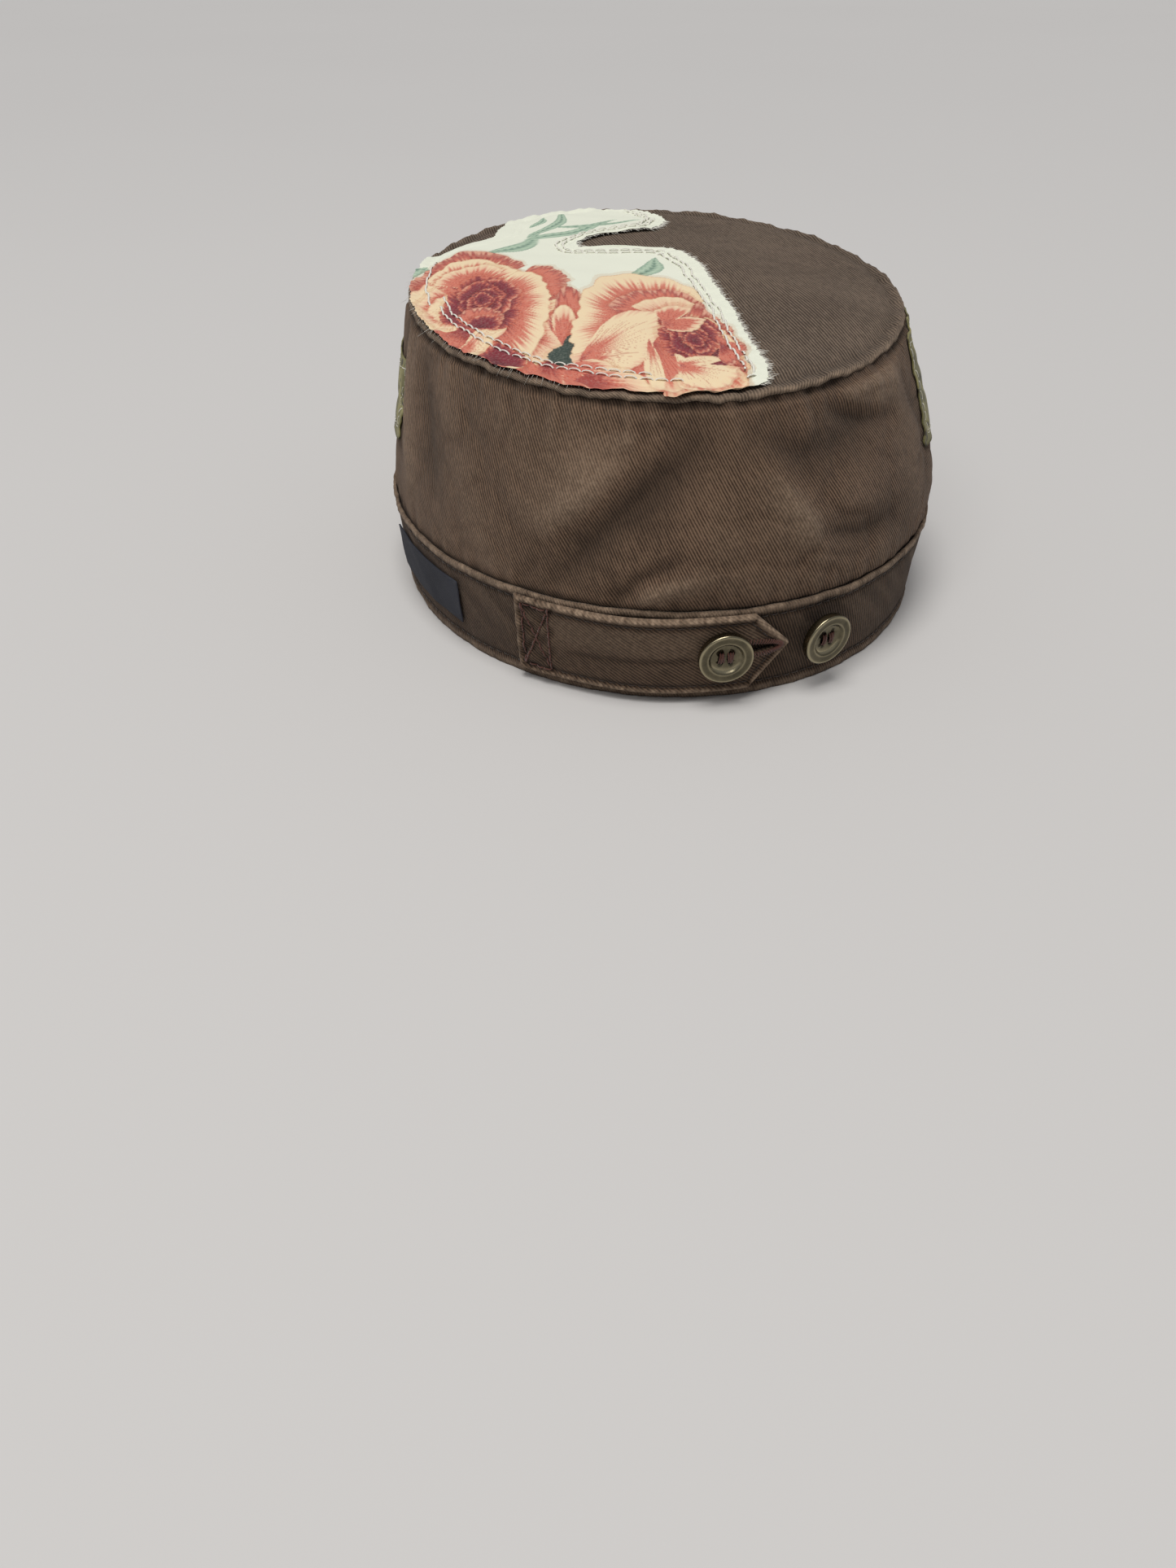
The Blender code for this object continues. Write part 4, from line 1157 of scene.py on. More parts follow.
def band_tone(across, along):
    angle = 360.0 * across
    height = mix(arch(angle), band_top(angle), along)
    from_top, from_low = band_top(angle) - height, height - arch(angle)
    patchy = 0.75 + ripple(across, 34, (37, 83, 151), 0.45)
    wear_and_highlight = 0.95 * ridge(from_top, 0.8 * MM, 1.2 * MM) + 0.65 * ridge(
        from_low, 1.2 * MM, 1.2 * MM)
    # Painted shade in the stitch grooves beside both lips.
    recess_shade = 0.65 * ridge(from_top, BAND_STITCH_BELOW, 0.8 * MM) + 0.5 * ridge(
        from_low, BAND_STITCH_ABOVE, 0.8 * MM)
    # Random lighter and darker rubbing below the top edge.
    rubbing_and_painted_light = ripple(across + 2.0 * height, 35, (29, 47, 71), 0.28) * ridge(
        from_top, 8 * MM, 9 * MM)
    return wear_and_highlight * patchy - recess_shade + rubbing_and_painted_light


def band_trace(row):
    """A line round the band: row gives its height from the angle."""
    angle = np.linspace(0.0, 360.0, 900)

    def trace(depth):
        height = row(angle)
        return band_at_height(angle, height, depth + band_relief(angle, height))
    return trace


def make_band():
    sizes = bpy.context.scene.cap_stitching
    columns, rows = ((600, 46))
    piece = cloth("band_cloth", cap_twill("band"), columns, rows, band_place,
                  (0.0, BAND_CLOTH), band_uv, closing="ring", tone=band_tone)
    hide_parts("outer_band")
    rows = [band_trace(lambda a: band_top(a) - BAND_STITCH_BELOW),
            band_trace(lambda a: arch(a) + BAND_STITCH_ABOVE)]
    stitching("band_topstitching", thread_finish("brown_thread", sizes.dark_thread),
                      rows, sizes.pitch, sizes.thread)


def band_strip(name, new_name, finish, low, high, angles, depths, columns, rows,
               closing=None, curl=0.0):
    """A strip on the band between two heights; curl lifts its two ends off the band."""
    def place(across, along, depth):
        angle = mix(*angles, across)
        height = mix(low(angle), high(angle), along)
        lift = curl * (np.abs(2.0 * across - 1.0) ** 6 + 0.25 * ripple(
            across * 3.0 + along, 41, (0.7, 1.3)))
        return band_at_height(angle, height, depth - lift)

    def uv(across, along):
        return BAND_PER_DEGREE * mix(*angles, across), BAND_HEIGHT * along
    piece = cloth(new_name, finish, columns, rows, place, depths, uv, closing=closing)
    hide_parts(name)
    return piece


def level(height):
    """The same height at every angle."""
    return lambda angle: height + 0.0 * angle


def up_band(share):
    """A height that follows the band: 0 at its low edge and 1 at its top."""
    return lambda angle: mix(arch(angle), band_top(angle), share)


def make_band_inside():
    near = BAND_CLOTH + PANEL_CLOTH + 2.0 * GAP
    lining = plain_finish("sweatband_cotton", 0.55 * MM, (0.10, 0.072, 0.054),
                          (0.040, 0.028, 0.021))
    band_strip("sweatband", "sweatband_cloth", lining,
               up_band(0.04), up_band(0.93), (0.0, 360.0),
               (near, near + SWEATBAND_CLOTH), 400, 14, "ring")
    label_near = near + SWEATBAND_CLOTH + GAP
    satin = plain_finish("care_label_satin", 0.3 * MM, (0.74, 0.73, 0.70),
                         (0.62, 0.61, 0.58), 0.5, 0.04 * MM)
    band_strip("care_label", "care_label_cloth", satin,
               level(4.0 * MM), level(24.0 * MM), (84.0, 97.0),
               (label_near, label_near + GAP), 26, 26)


def make_side_label():
    woven = plain_finish("side_label_weave", 0.36 * MM, (0.060, 0.063, 0.080),
                         (0.010, 0.011, 0.017), 0.75)
    band_strip("side_label", "side_label_cloth", woven,
               level(8.4 * MM), level(22.1 * MM), (12.0, 38.8),
               (-0.9 * MM, -0.45 * MM), 90, 30, curl=0.5 * MM)


# ---------------------------------------------------------------- visor

VISOR_ROWS = (0.22, 0.42, 0.62, 0.82, 0.945)  # stitching: 0 at the band, 1 at the visor's edge
VISOR_ROW_WIDTH = 0.012


def make_visor():
    sizes = bpy.context.scene.cap_stitching
    board = VISOR_COVER + GAP
    under = board + VISOR_BOARD + GAP
    rim = VISOR_COVER * 0.5

    def grooves(out):
        return sum(0.28 * MM * ridge(out, row, VISOR_ROW_WIDTH) for row in VISOR_ROWS)

    def cover_place(side):
        def place(across, along, depth):
            swing = 2.0 * across - 1.0
            edge_roll = (rim * side) * ease(along, 0.965, 1.0) ** 2
            wave = 0.12 * MM * ripple(across + along, 51, (7, 11, 17))
            return visor_point(swing, along, depth + side * grooves(along) + edge_roll
                               + side * wave)
        return place

    def uv(across, along):
        return 0.19 * across, 0.085 * along

    def tone(across, along):
        # Worn lighter at the edge; painted shade along the stitch rows.
        recess_shade = sum(0.4 * ridge(along, row, VISOR_ROW_WIDTH) for row in VISOR_ROWS)
        return 0.7 * ease(along, 0.965, 0.995) - recess_shade
    for name, side, depths in (
            ("visor_top_cover", 1.0, (0.0, VISOR_COVER)),
            ("visor_under_cover", -1.0, (under, under + VISOR_COVER))):
        piece = cloth(name.replace("cover", "cloth"), cap_twill("visor"), 200, 72,
                      cover_place(side), depths, uv, tone=tone)
        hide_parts(name)

    def row_trace(row, below):
        swing = np.linspace(-0.985, 0.985, 500)

        def trace(depth):
            face = under + VISOR_COVER - depth if below else depth
            dip = -grooves(row) if below else grooves(row)
            return visor_point(swing, np.full_like(swing, row), face + dip)
        return trace
    traces = [row_trace(row, below) for row in VISOR_ROWS for below in (False, True)]
    stitching("visor_topstitching", thread_finish("brown_thread", sizes.dark_thread),
                      traces, sizes.pitch, sizes.thread)
    material, tree, shader, _, own_place = new_finish("visor_board_pulp", 0.7)
    pulp = noise(tree, own_place, 700.0, 4.0)
    tree.links.new(blend_colour(tree, pulp, (0.25, 0.23, 0.20), (0.42, 0.40, 0.36)),
                   shader.inputs["Base Color"])
    connect_bump(tree, shader, pulp, 0.1 * MM)
    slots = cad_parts["visor_board"].data.materials
    slots.clear()
    slots.append(material)


# ---------------------------------------------------------------- patches

# The rose patch's free edge, from the front of the cap to its rear: y and x in mm from the top
# panel's centre. Its other edge follows the top seam.
PATCH_FREE_EDGE = (
    (-89.0, -1.0), (-80.0, -9.0), (-70.0, -13.5), (-63.0, -14.0), (-55.0, -11.5),
    (-47.0, -7.0), (-43.0, 2.5), (-41.0, 13.5), (-36.0, 20.5), (-29.0, 20.5),
    (-25.5, 16.0), (-24.5, 4.0), (-23.5, -6.0), (-19.0, -11.0), (-10.0, -13.0),
    (-2.0, -15.0), (15.0, -15.8), (36.0, -18.0), (60.0, -17.8), (78.0, -18.8),
    (83.0, -18.0), (86.5, -16.5), (88.5, -12.0), (90.2, -5.0), (91.6, 3.0), (92.6, 10.0))
PATCH_FRONT_CUT = ((-90.0, 36.0), (-78.0, 42.0), (-62.0, 45.0), (-52.0, 47.0),
                   (-47.0, 51.5), (-42.0, 58.0), (-36.0, 68.0), (-31.0, 80.0), (-20.0, 120.0))
PATCH_FACE = -GAP - 0.6 * MM
# Stitching rows: how far inside which edge, and from and to which y; all in mm.
PATCH_ROWS = (
    (8.0, "seam", 18.0, 84.0), (10.6, "seam", 10.0, 80.0), (6.0, "seam", -26.0, 16.0),
    (4.2, "free", -82.0, 84.0), (6.4, "free", -76.0, 80.0))


def smooth_free_edge():
    """The patch's free edge before it frays: y and x in mm along it."""
    edge = np.array(PATCH_FREE_EDGE)
    fine = np.linspace(edge[0, 0], edge[-1, 0], 1200)
    return fine, smoothed(np.interp(fine, edge[:, 0], edge[:, 1]), 31, "edge")


def patch_free_edge(y):
    """x of the patch's free edge in mm, rounded and a little ragged."""
    fine, line = smooth_free_edge()
    return np.interp(y, fine, line + ripple(fine, 61, (0.11, 0.23, 0.47, 0.81), 0.55))


def patch_seam_edge(y):
    """x of the patch's other edge in mm: along the top seam, and cut in short at the front."""
    inside = np.clip(1.0 - (y * MM / (SEAM_HALF_Y - SEAM_INSET)) ** 2, 0.02, 1.0)
    along_seam = (SEAM_HALF_X - SEAM_INSET) / MM * np.sqrt(inside)
    cut = np.interp(y, *np.array(PATCH_FRONT_CUT, float).T)
    soft = 3.0
    nearer = -soft * np.log(np.exp(-along_seam / soft) + np.exp(-cut / soft))
    return nearer + ripple(y, 62, (0.07, 0.17, 0.41), 0.45)


def patch_xy(across, along):
    y = mix(PATCH_FREE_EDGE[0][0], PATCH_FREE_EDGE[-1][0], along)
    return mix(patch_free_edge(y), patch_seam_edge(y), across), y


def patch_lift(x, y):
    """How far the patch stands off the panel: slack between its rows, loose at its edges."""
    free = x - patch_free_edge(y)
    seam = patch_seam_edge(y) - x
    slack = 0.16 * np.sin(0.31 * x + 0.17 * y + 1.0) * np.sin(0.11 * x - 0.23 * y)
    slack += 0.10 * np.sin(0.9 * y + 0.3 * x) * ridge(np.minimum(free, 12.0), 4.0, 4.0)
    loose = 0.45 * ridge(free, 0.0, 1.6) * (0.6 + ripple(y, 63, (0.21, 0.43), 0.6))
    stitched = 0.22 * ridge(free, 4.2, 0.8) + 0.22 * ridge(free, 6.4, 0.7)
    stitched += 0.2 * ridge(seam, 6.6, 0.8) + 0.2 * ridge(seam, 9.2, 0.8)
    crumple = ripple(y, 64, (0.33, 0.57, 0.79), 0.22) * ridge(free, 5.0, 2.6)
    return (slack + loose + crumple - stitched) * MM


def on_top(x, y, depth):
    """A point on the top panel's cloth as it lies, at a place in mm and a depth in metres."""
    x, y = x * MM, y * MM
    panel = top_point(x, y, depth + top_relief(x, y))
    ring = np.hypot(x / SEAM_HALF_X, y / SEAM_HALF_Y)
    turn = np.degrees(np.arctan2(y / SEAM_HALF_Y, x / SEAM_HALF_X))
    panel[..., 2] += seam_wander(turn) * ease(ring, 0.93, 0.99)
    return panel


def patch_place(across, along, depth):
    x, y = patch_xy(across, along)
    return on_top(x, y, depth - patch_lift(x, y))


def patch_trace(offset, side, start, end):
    """A stitching line inside the patch's free edge or along the top seam, offset in mm."""
    if side == "free":
        y, x = smooth_free_edge()
        slope = np.gradient(x, y)
        steep = np.hypot(1.0, slope)
        x, y = x + offset / steep, y - offset * slope / steep
    else:
        y = np.linspace(start, end, 700)
        reach_x, reach_y = SEAM_HALF_X / MM - offset, SEAM_HALF_Y / MM - offset
        x = reach_x * np.sqrt(np.clip(1.0 - (y / reach_y) ** 2, 0.0, 1.0))
    keep = (y > start) & (y < end)
    x, y = x[keep] + ripple(y[keep], int(10 * offset), (0.05, 0.09), 0.4), y[keep]

    def trace(depth):
        return on_top(x, y, PATCH_FACE + depth - patch_lift(x, y))
    return trace


FREE_FRAY = np.arange(-62.0, 87.0, 0.14)  # where yarn ends stick out: y in mm
SEAM_FRAY = np.arange(-28.0, 84.0, 0.75)


def make_fray(finish):
    """Loose yarn ends along the patch's torn edge: short tapered fibres, a few of them long."""
    pick = np.random.default_rng(71)
    template = bmesh.new()
    bmesh.ops.create_cone(
        template, cap_ends=False, segments=3, radius1=0.085 * MM, radius2=0.02 * MM,
        depth=1.0, matrix=Matrix.Translation((0.0, 0.0, 0.5)))
    template = as_mesh("fibre", template)
    places = []
    for y in FREE_FRAY:
        y = float(y + pick.uniform(-0.05, 0.05))
        slope = float(patch_free_edge(y + 0.6) - patch_free_edge(y - 0.6)) / 1.2
        outward = math.atan2(slope, -1.0) + pick.normal(0.0, 0.45)
        length = float(np.clip(pick.gamma(3.0, 0.36), 0.35, 3.4))
        inset = pick.uniform(0.0, 0.7)
        x = float(patch_free_edge(y)) + inset
        base = Vector(on_top(np.array(x), np.array(y), PATCH_FACE + 0.25 * MM
                             - patch_lift(np.array(x), np.array(y))))
        heading = Vector((math.cos(outward), math.sin(outward), pick.normal(-0.02, 0.16)))
        turn = heading.to_track_quat("Z", "Y").to_matrix().to_4x4()
        places.append(Matrix.Translation(base) @ turn @ Matrix.Diagonal(
            (1.0, 1.0, (length + inset) * MM, 1.0)))
    for y in SEAM_FRAY:
        y = np.array(y + pick.uniform(-0.3, 0.3))
        base = Vector(on_top(patch_seam_edge(y) - 0.5, y, PATCH_FACE + 0.1 * MM))
        heading = Vector((base.x, base.y - CROWN_Y, 0.0)).normalized()
        heading += Vector((pick.normal(0.0, 0.4), pick.normal(0.0, 0.4), -pick.uniform(0.2, 1.4)))
        turn = heading.to_track_quat("Z", "Y").to_matrix().to_4x4()
        places.append(Matrix.Translation(base) @ turn @ Matrix.Diagonal(
            (0.8, 0.8, float(np.clip(pick.gamma(2.0, 0.7), 0.5, 4.5)) * MM, 1.0)))
    copies("rose_patch_fray", template, places, finish, "cap")


def make_rose_patch():
    looks = bpy.context.scene.cap_print
    columns, rows = ((226, 392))

    def uv(across, along):
        x, y = patch_xy(across, along)
        return x * MM, y * MM
    piece = cloth("rose_patch", printed_finish(), columns, rows, patch_place,
                  (PATCH_FACE,), uv, facing=Vector((0.0, 0.0, 1.0)))
    x, y, _ = places_of(piece.data)
    set_ink(piece.data, print_roses((x - CROWN_LEAN) / MM, (y - CROWN_Y) / MM, looks.ground))
    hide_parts("crown_applique")
    cotton = thread_finish("white_cotton_yarn", looks.thread, 0.2)
    make_fray(cotton)
    rows = [patch_trace(*row) for row in PATCH_ROWS]
    stitching("rose_patch_stitching", cotton, rows, 3.9 * MM, 0.30 * MM, fill=0.78,
                      wander=0.3 * MM)


def olive_finish():
    """Faded yellow-olive print: soft dark and pale blots of flowers gone over in the wash."""
    if "olive_cotton" in bpy.data.materials:
        return bpy.data.materials["olive_cotton"]
    material, tree, shader, cloth_map, own_place = new_finish("olive_cotton", 0.9, sheen=0.15)
    weave = placed_group(tree, plain_weave(), Cloth=cloth_map, Yarn_Spacing=0.5 * MM)
    blots = noise(tree, own_place, 150.0, 2.0, 0.4)
    sprigs = noise(tree, own_place, 420.0, 1.0, 0.3)
    share = maths(tree, "MULTIPLY_ADD", blots, 5.0, -2.2)
    colour = blend_colour(tree, share, (0.15, 0.135, 0.05), (0.30, 0.27, 0.11))
    share = maths(tree, "MULTIPLY_ADD", sprigs, 9.0, -5.2)
    colour = blend_colour(tree, share, colour, (0.06, 0.05, 0.028))
    tree.links.new(colour, shader.inputs["Base Color"])
    connect_bump(tree, shader, weave["Height"], 0.14 * MM)
    return material


WALL_PATCH_CLOTH = 0.4 * MM
WALL_PATCH_ROW = 3.0  # mm from a wall patch's edge to its stitching
WALL_PATCH_PER_DEGREE = 1.5


def wall_patch(name, new_name, finish, reach, columns, rows, colours=None):
    """An applique sewn on the side wall, following its folds, with a ragged outline."""
    start, end, low, high = reach

    def bounds_at(across, along):
        angle = mix(start, end, across) + ripple(along, 81, (1.1, 2.7, 6.0), 0.7) * (
            2.0 * across - 1.0)
        rise = mix(low, high, along) + ripple(across, 82, (1.7, 3.1, 7.3), 0.02) * (
            2.0 * along - 1.0)
        return angle, rise

    def place(across, along, depth):
        angle, rise = bounds_at(across, along)
        edge = np.minimum(np.minimum(across, 1.0 - across) * (end - start) * WALL_PATCH_PER_DEGREE,
                          np.minimum(along, 1.0 - along) * (high - low) * WALL_RISE)
        lift = 0.12 * MM * ridge(edge, 0.0, 1.2) - 0.2 * MM * ridge(edge, WALL_PATCH_ROW, 0.8)
        return crown_point(angle, rise, depth - lift + wall_relief(angle, rise))

    def uv(across, along):
        angle, rise = bounds_at(across, along)
        return CLOTH_PER_DEGREE * angle, WALL_RISE * MM * rise
    piece = cloth(new_name, finish, columns, rows, place,
                  (-GAP - WALL_PATCH_CLOTH, -GAP), uv)
    if colours is not None:
        set_ink(piece.data, colours(piece.data))
    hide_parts(name)

    def ring(depth):
        share = np.linspace(0.0, 4.0, 600)
        inset_a = WALL_PATCH_ROW / WALL_PATCH_PER_DEGREE / (end - start)
        inset_r = WALL_PATCH_ROW / WALL_RISE / (high - low)
        corner_a = np.array((inset_a, 1 - inset_a, 1 - inset_a, inset_a, inset_a))
        corner_r = np.array((inset_r, inset_r, 1 - inset_r, 1 - inset_r, inset_r))
        return place(np.interp(share, range(5), corner_a), np.interp(share, range(5), corner_r),
                     depth - GAP - WALL_PATCH_CLOTH)
    looks = bpy.context.scene.cap_print
    stitching(new_name + "_stitching", thread_finish(
        "white_cotton_yarn", looks.thread, 0.2), [ring], 3.4 * MM, 0.16 * MM)


def make_side_patches():
    looks = bpy.context.scene.cap_print
    olive = olive_finish()
    wall_patch("right_side_applique", "right_side_patch", olive,
               (151.0, 212.0, 0.40, 0.95), 110, 36)
    wall_patch("left_side_applique", "left_side_patch", olive,
               (-46.0, 6.5, 0.30, 0.72), 100, 30)

    def front_colours(data):
        x, _, z = places_of(data)
        return print_roses(14.0 - x / MM, 74.0 - 1.7 * (z - 0.065) / MM, looks.ground)
    wall_patch("front_applique", "front_patch", printed_finish(),
               (250.0, 296.0, 0.38, 0.97), 170, 84, front_colours)


# ---------------------------------------------------------------- rear tab

TAB_MM_PER_DEGREE = 1.55
HOLE_START, HOLE_END = 89.2, 102.3
HOLE_MIDDLE, HOLE_HALF = 0.5 * (HOLE_START + HOLE_END), 0.5 * (HOLE_END - HOLE_START)
HOLE_HALF_HEIGHT = 1.7 * MM
BOX_LOW_IN, BOX_HIGH_IN, BOX_HIGH_OUT, BOX_LOW_OUT = (
    (55.1, 5.4), (55.1, 25.2), (60.4, 25.2), (60.4, 5.4))  # corners: angle, height in mm


def tab_distances(angle, height):
    """Distances in mm from a point of the tab to its nearest edge and to its sewn end."""
    low, high = tab_edges(angle)
    slope = np.where(angle > TAB_SHOULDER, 0.66, 1.0)
    long_edge = np.minimum(height - low, high - height) / MM * slope
    sewn_end = np.maximum((angle - TAB_START) * TAB_MM_PER_DEGREE, 0.0)
    return np.minimum(np.maximum(long_edge, 0.0), sewn_end), sewn_end


def middle_crease(angle, height, width):
    """The crease along the tab's middle, between its fold and the buttonhole."""
    return ridge(height / MM, 13.2 + 0.06 * (angle - 70.0), width) * ease(
        angle, 63.0, 66.0) * (1.0 - ease(angle, 84.0, 88.0))


def box_swell(height, sewn_end):
    """The cloth's swelling and sinking inside the box of stitches."""
    return np.sin(0.95 * height / MM) * np.sin(0.85 * sewn_end + 0.5)


def tab_relief(angle, height):
    """The turned edge as a ridge, the topstitch groove, the middle crease and box puckers."""
    edge, sewn_end = tab_distances(angle, height)
    lips = -0.42 * ridge(edge, 0.9, 0.8) + 0.30 * ridge(edge, 2.4, 0.7)
    crease = 0.22 * middle_crease(angle, height, 0.8)
    box = 1.0 - ease(angle, TAB_FOLD - 0.5, TAB_FOLD + 1.5)
    puckers = 0.38 * box_swell(height, sewn_end)
    for slant in (1.0, -1.0):
        line = (height / MM - 15.0) - slant * 1.75 * (sewn_end - 6.0)
        puckers = puckers + 0.42 * ridge(line, 0.0, 1.3)
    roping = ripple(angle / 10.0 + height * 20.0, 91, (4.1, 5.7), 0.10) * ridge(edge, 1.5, 1.5)
    waves = 0.25 * np.sin(0.16 * (angle - 60.0) + 90.0 * height)
    return (lips + crease + puckers * box + roping + waves) * MM


def tab_grid(across, along):
    angle = mix(TAB_START, TAB_POINT, across)
    low, high = tab_edges(angle)
    return angle, mix(low, high, along)


def tab_place(across, along, depth):
    angle, height = tab_grid(across, along)
    outer = depth < TAB_CLOTH + 0.5 * GAP
    relief = tab_relief(angle, height) * np.where(outer, 1.0, 0.3)
    edge, _ = tab_distances(angle, height)
    pinch = 0.55 * MM * (1.0 - ease(edge, 0.0, 0.9)) * np.where(outer, 1.0, -1.0)
    return tab_face(angle, height, depth + relief + pinch)


def in_buttonhole(across, along):
    angle, height = tab_grid(across, along)
    out_along = (angle - HOLE_MIDDLE) / HOLE_HALF
    return out_along ** 2 + ((height - BUTTON_HEIGHT) / HOLE_HALF_HEIGHT) ** 2 < 1.0


def tab_tone(across, along):
    angle, height = tab_grid(across, along)
    edge, sewn_end = tab_distances(angle, height)
    patchy = 0.7 + ripple(angle / 10.0, 92, (3.1, 5.3, 9.7), 0.5)
    wear_and_highlight = 1.05 * ridge(edge, 0.6, 1.1) * patchy
    # Painted shade in the topstitch groove, over the puckered box and along the middle crease.
    recess_shade = 0.60 * ridge(edge, 2.6, 0.8)
    box = 1.0 - ease(angle, TAB_FOLD - 0.5, TAB_FOLD + 1.0)
    recess_shade += 0.25 * box * (1.0 + box_swell(height, sewn_end))
    crease = 0.45 * middle_crease(angle, height, 0.9)
    broad = 0.22 * ridge(height / MM, 20.0, 6.0)
    return wear_and_highlight + broad - recess_shade - crease


def tab_trace(points):
    """A line on the tab's face through (angle, height in mm) points."""
    points = np.array(points, float)
    share = np.linspace(0.0, len(points) - 1.0, 400)
    angle = np.interp(share, range(len(points)), points[:, 0])
    height = np.interp(share, range(len(points)), points[:, 1]) * MM

    def trace(depth):
        return tab_face(angle, height, depth + tab_relief(angle, height))
    return trace


def make_tab():
    sizes = bpy.context.scene.cap_stitching
    columns, rows = ((210, 64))

    def uv(across, along):
        angle, height = tab_grid(across, along)
        return TAB_MM_PER_DEGREE * MM * angle, height
    piece = cloth("tab_cloth", cap_twill("tab"), columns, rows, tab_place,
                  (0.0, 2.0 * TAB_CLOTH + GAP), uv, body=None, tone=tab_tone,
                  trim=in_buttonhole)
    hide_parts("tab_sewn_face", "tab_sewn_backing", "tab_strap_face",
                "tab_strap_backing", "tab_tip_face", "tab_tip_backing")
    before, after = (Vector(tab_face(angle, 15.0 * MM, 0.0)) for angle in (59.8, 62.4))
    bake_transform(piece)
    rust = thread_finish("rust_thread", sizes.rust_thread)
    box = [tab_trace((BOX_LOW_IN, BOX_HIGH_IN, BOX_HIGH_OUT, BOX_LOW_OUT, BOX_LOW_IN)),
           tab_trace((BOX_LOW_IN, BOX_HIGH_OUT)), tab_trace((BOX_HIGH_IN, BOX_LOW_OUT))]
    stitching("tab_box_stitching", rust, box, 2.6 * MM, 0.26 * MM, fill=0.84)
    edges = [tab_trace(((61.8, 24.8), (TAB_SHOULDER - 0.6, 24.9), (102.0, 16.4),
                        (TAB_SHOULDER - 0.6, 5.6), (61.8, 5.5)))]
    stitching("tab_topstitching", thread_finish("brown_thread", sizes.dark_thread),
                      edges, sizes.pitch, 0.8 * sizes.thread, body="tab")
    make_buttonhole(rust)


def make_buttonhole(rust):
    """Close zigzag stitches worked over the slit's edge."""
    places = []
    count = 74
    for number in range(count):
        turn = 2.0 * math.pi * number / count
        inner, outer = ((HOLE_MIDDLE + (HOLE_HALF + grow / TAB_MM_PER_DEGREE) * math.cos(turn),
                         BUTTON_HEIGHT + (HOLE_HALF_HEIGHT + grow * MM) * math.sin(turn))
                        for grow in (-0.15, 1.25))
        start, end = (np.array(tab_face(*spot, -0.12 * MM)) for spot in (inner, outer))
        out = np.array(tab_face(*outer, -1.12 * MM))
        places += along_path(np.stack((start, end)), np.stack((start + out - end, out)),
                             float(np.linalg.norm(end - start)) * 0.999)
    piece = copies("buttonhole_thread", stitch_template(1.5 * MM, 0.2 * MM), places, rust,
                   "tab")
    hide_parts("buttonhole_stitching")


# ---------------------------------------------------------------- buttons

BUTTON_SEAT = 3.4 * MM
WEB_TOP = 1.9 * MM
WEB_FACE = BUTTON_SEAT + WEB_TOP - 0.3 * MM  # the sunk middle that the thread lies on
BUTTON_THICKNESS = 2.7 * MM
RIM_ROUND = 0.55 * MM


def button_profile(radius, dish):
    """Half section from the back's middle, round the rim, to the face's middle."""
    top = BUTTON_SEAT + BUTTON_THICKNESS
    rim = [(radius - RIM_ROUND + RIM_ROUND * math.cos(turn),
            top - RIM_ROUND + RIM_ROUND * math.sin(turn))
           for turn in np.radians(np.linspace(-10, 90, 7))]
    step = [(mix(dish + 0.75 * MM, dish - 0.55 * MM, share), mix(
        top - 0.05 * MM, BUTTON_SEAT + WEB_TOP - 0.25 * MM, 0.5 - 0.5 * math.cos(
            math.pi * share))) for share in np.linspace(0.0, 1.0, 9)]
    return [(0.0, BUTTON_SEAT + 0.8 * MM), (3.1 * MM, BUTTON_SEAT + 0.8 * MM),
            (3.3 * MM, BUTTON_SEAT + 0.05 * MM), (radius - 0.6 * MM, BUTTON_SEAT),
            (radius - 0.15 * MM, BUTTON_SEAT + 0.2 * MM), (radius, BUTTON_SEAT + 0.7 * MM),
            *rim, (radius - 0.9 * MM, top - 0.05 * MM), (radius - 1.3 * MM, top - 0.12 * MM),
            (radius - 2.0 * MM, top - 0.10 * MM), *step,
            (1.2 * MM, WEB_FACE), (0.0, WEB_FACE)]


def spun(profile, segments):
    mesh = bmesh.new()
    verts = [mesh.verts.new((radius, 0.0, height)) for radius, height in profile]
    edges = [mesh.edges.new(pair) for pair in zip(verts, verts[1:])]
    bmesh.ops.spin(
        mesh, geom=verts + edges, cent=(0.0, 0.0, 0.0), axis=(0.0, 0.0, 1.0),
        angle=2.0 * math.pi, steps=segments, use_merge=True, use_duplicate=False)
    bmesh.ops.remove_doubles(mesh, verts=mesh.verts, dist=1e-7)
    bmesh.ops.recalc_face_normals(mesh, faces=mesh.faces)
    if mesh.calc_volume(signed=True) < 0.0:
        bmesh.ops.reverse_faces(mesh, faces=mesh.faces)
    return mesh


def cut_holes(data, radius, offset):
    """Cut the four thread holes through a button's middle."""
    blank = bpy.data.objects.new("blank", data)
    drills = bmesh.new()
    for x, y in ((-offset, -offset), (-offset, offset), (offset, -offset), (offset, offset)):
        bmesh.ops.create_cone(
            drills, cap_ends=True, segments=24, radius1=radius, radius2=radius,
            depth=8.0 * MM, matrix=Matrix.Translation((x, y, BUTTON_SEAT + MM)))
    drill = bpy.data.objects.new("drill", as_mesh("drill", drills))
    for thing in (blank, drill):
        bpy.context.scene.collection.objects.link(thing)
    step = blank.modifiers.new("holes", "BOOLEAN")
    step.operation, step.solver, step.object = "DIFFERENCE", "EXACT", drill
    ready = blank.evaluated_get(bpy.context.evaluated_depsgraph_get())
    cut = bpy.data.meshes.new_from_object(ready)
    for thing in (blank, drill):
        bpy.data.objects.remove(thing, do_unlink=True)
    return cut


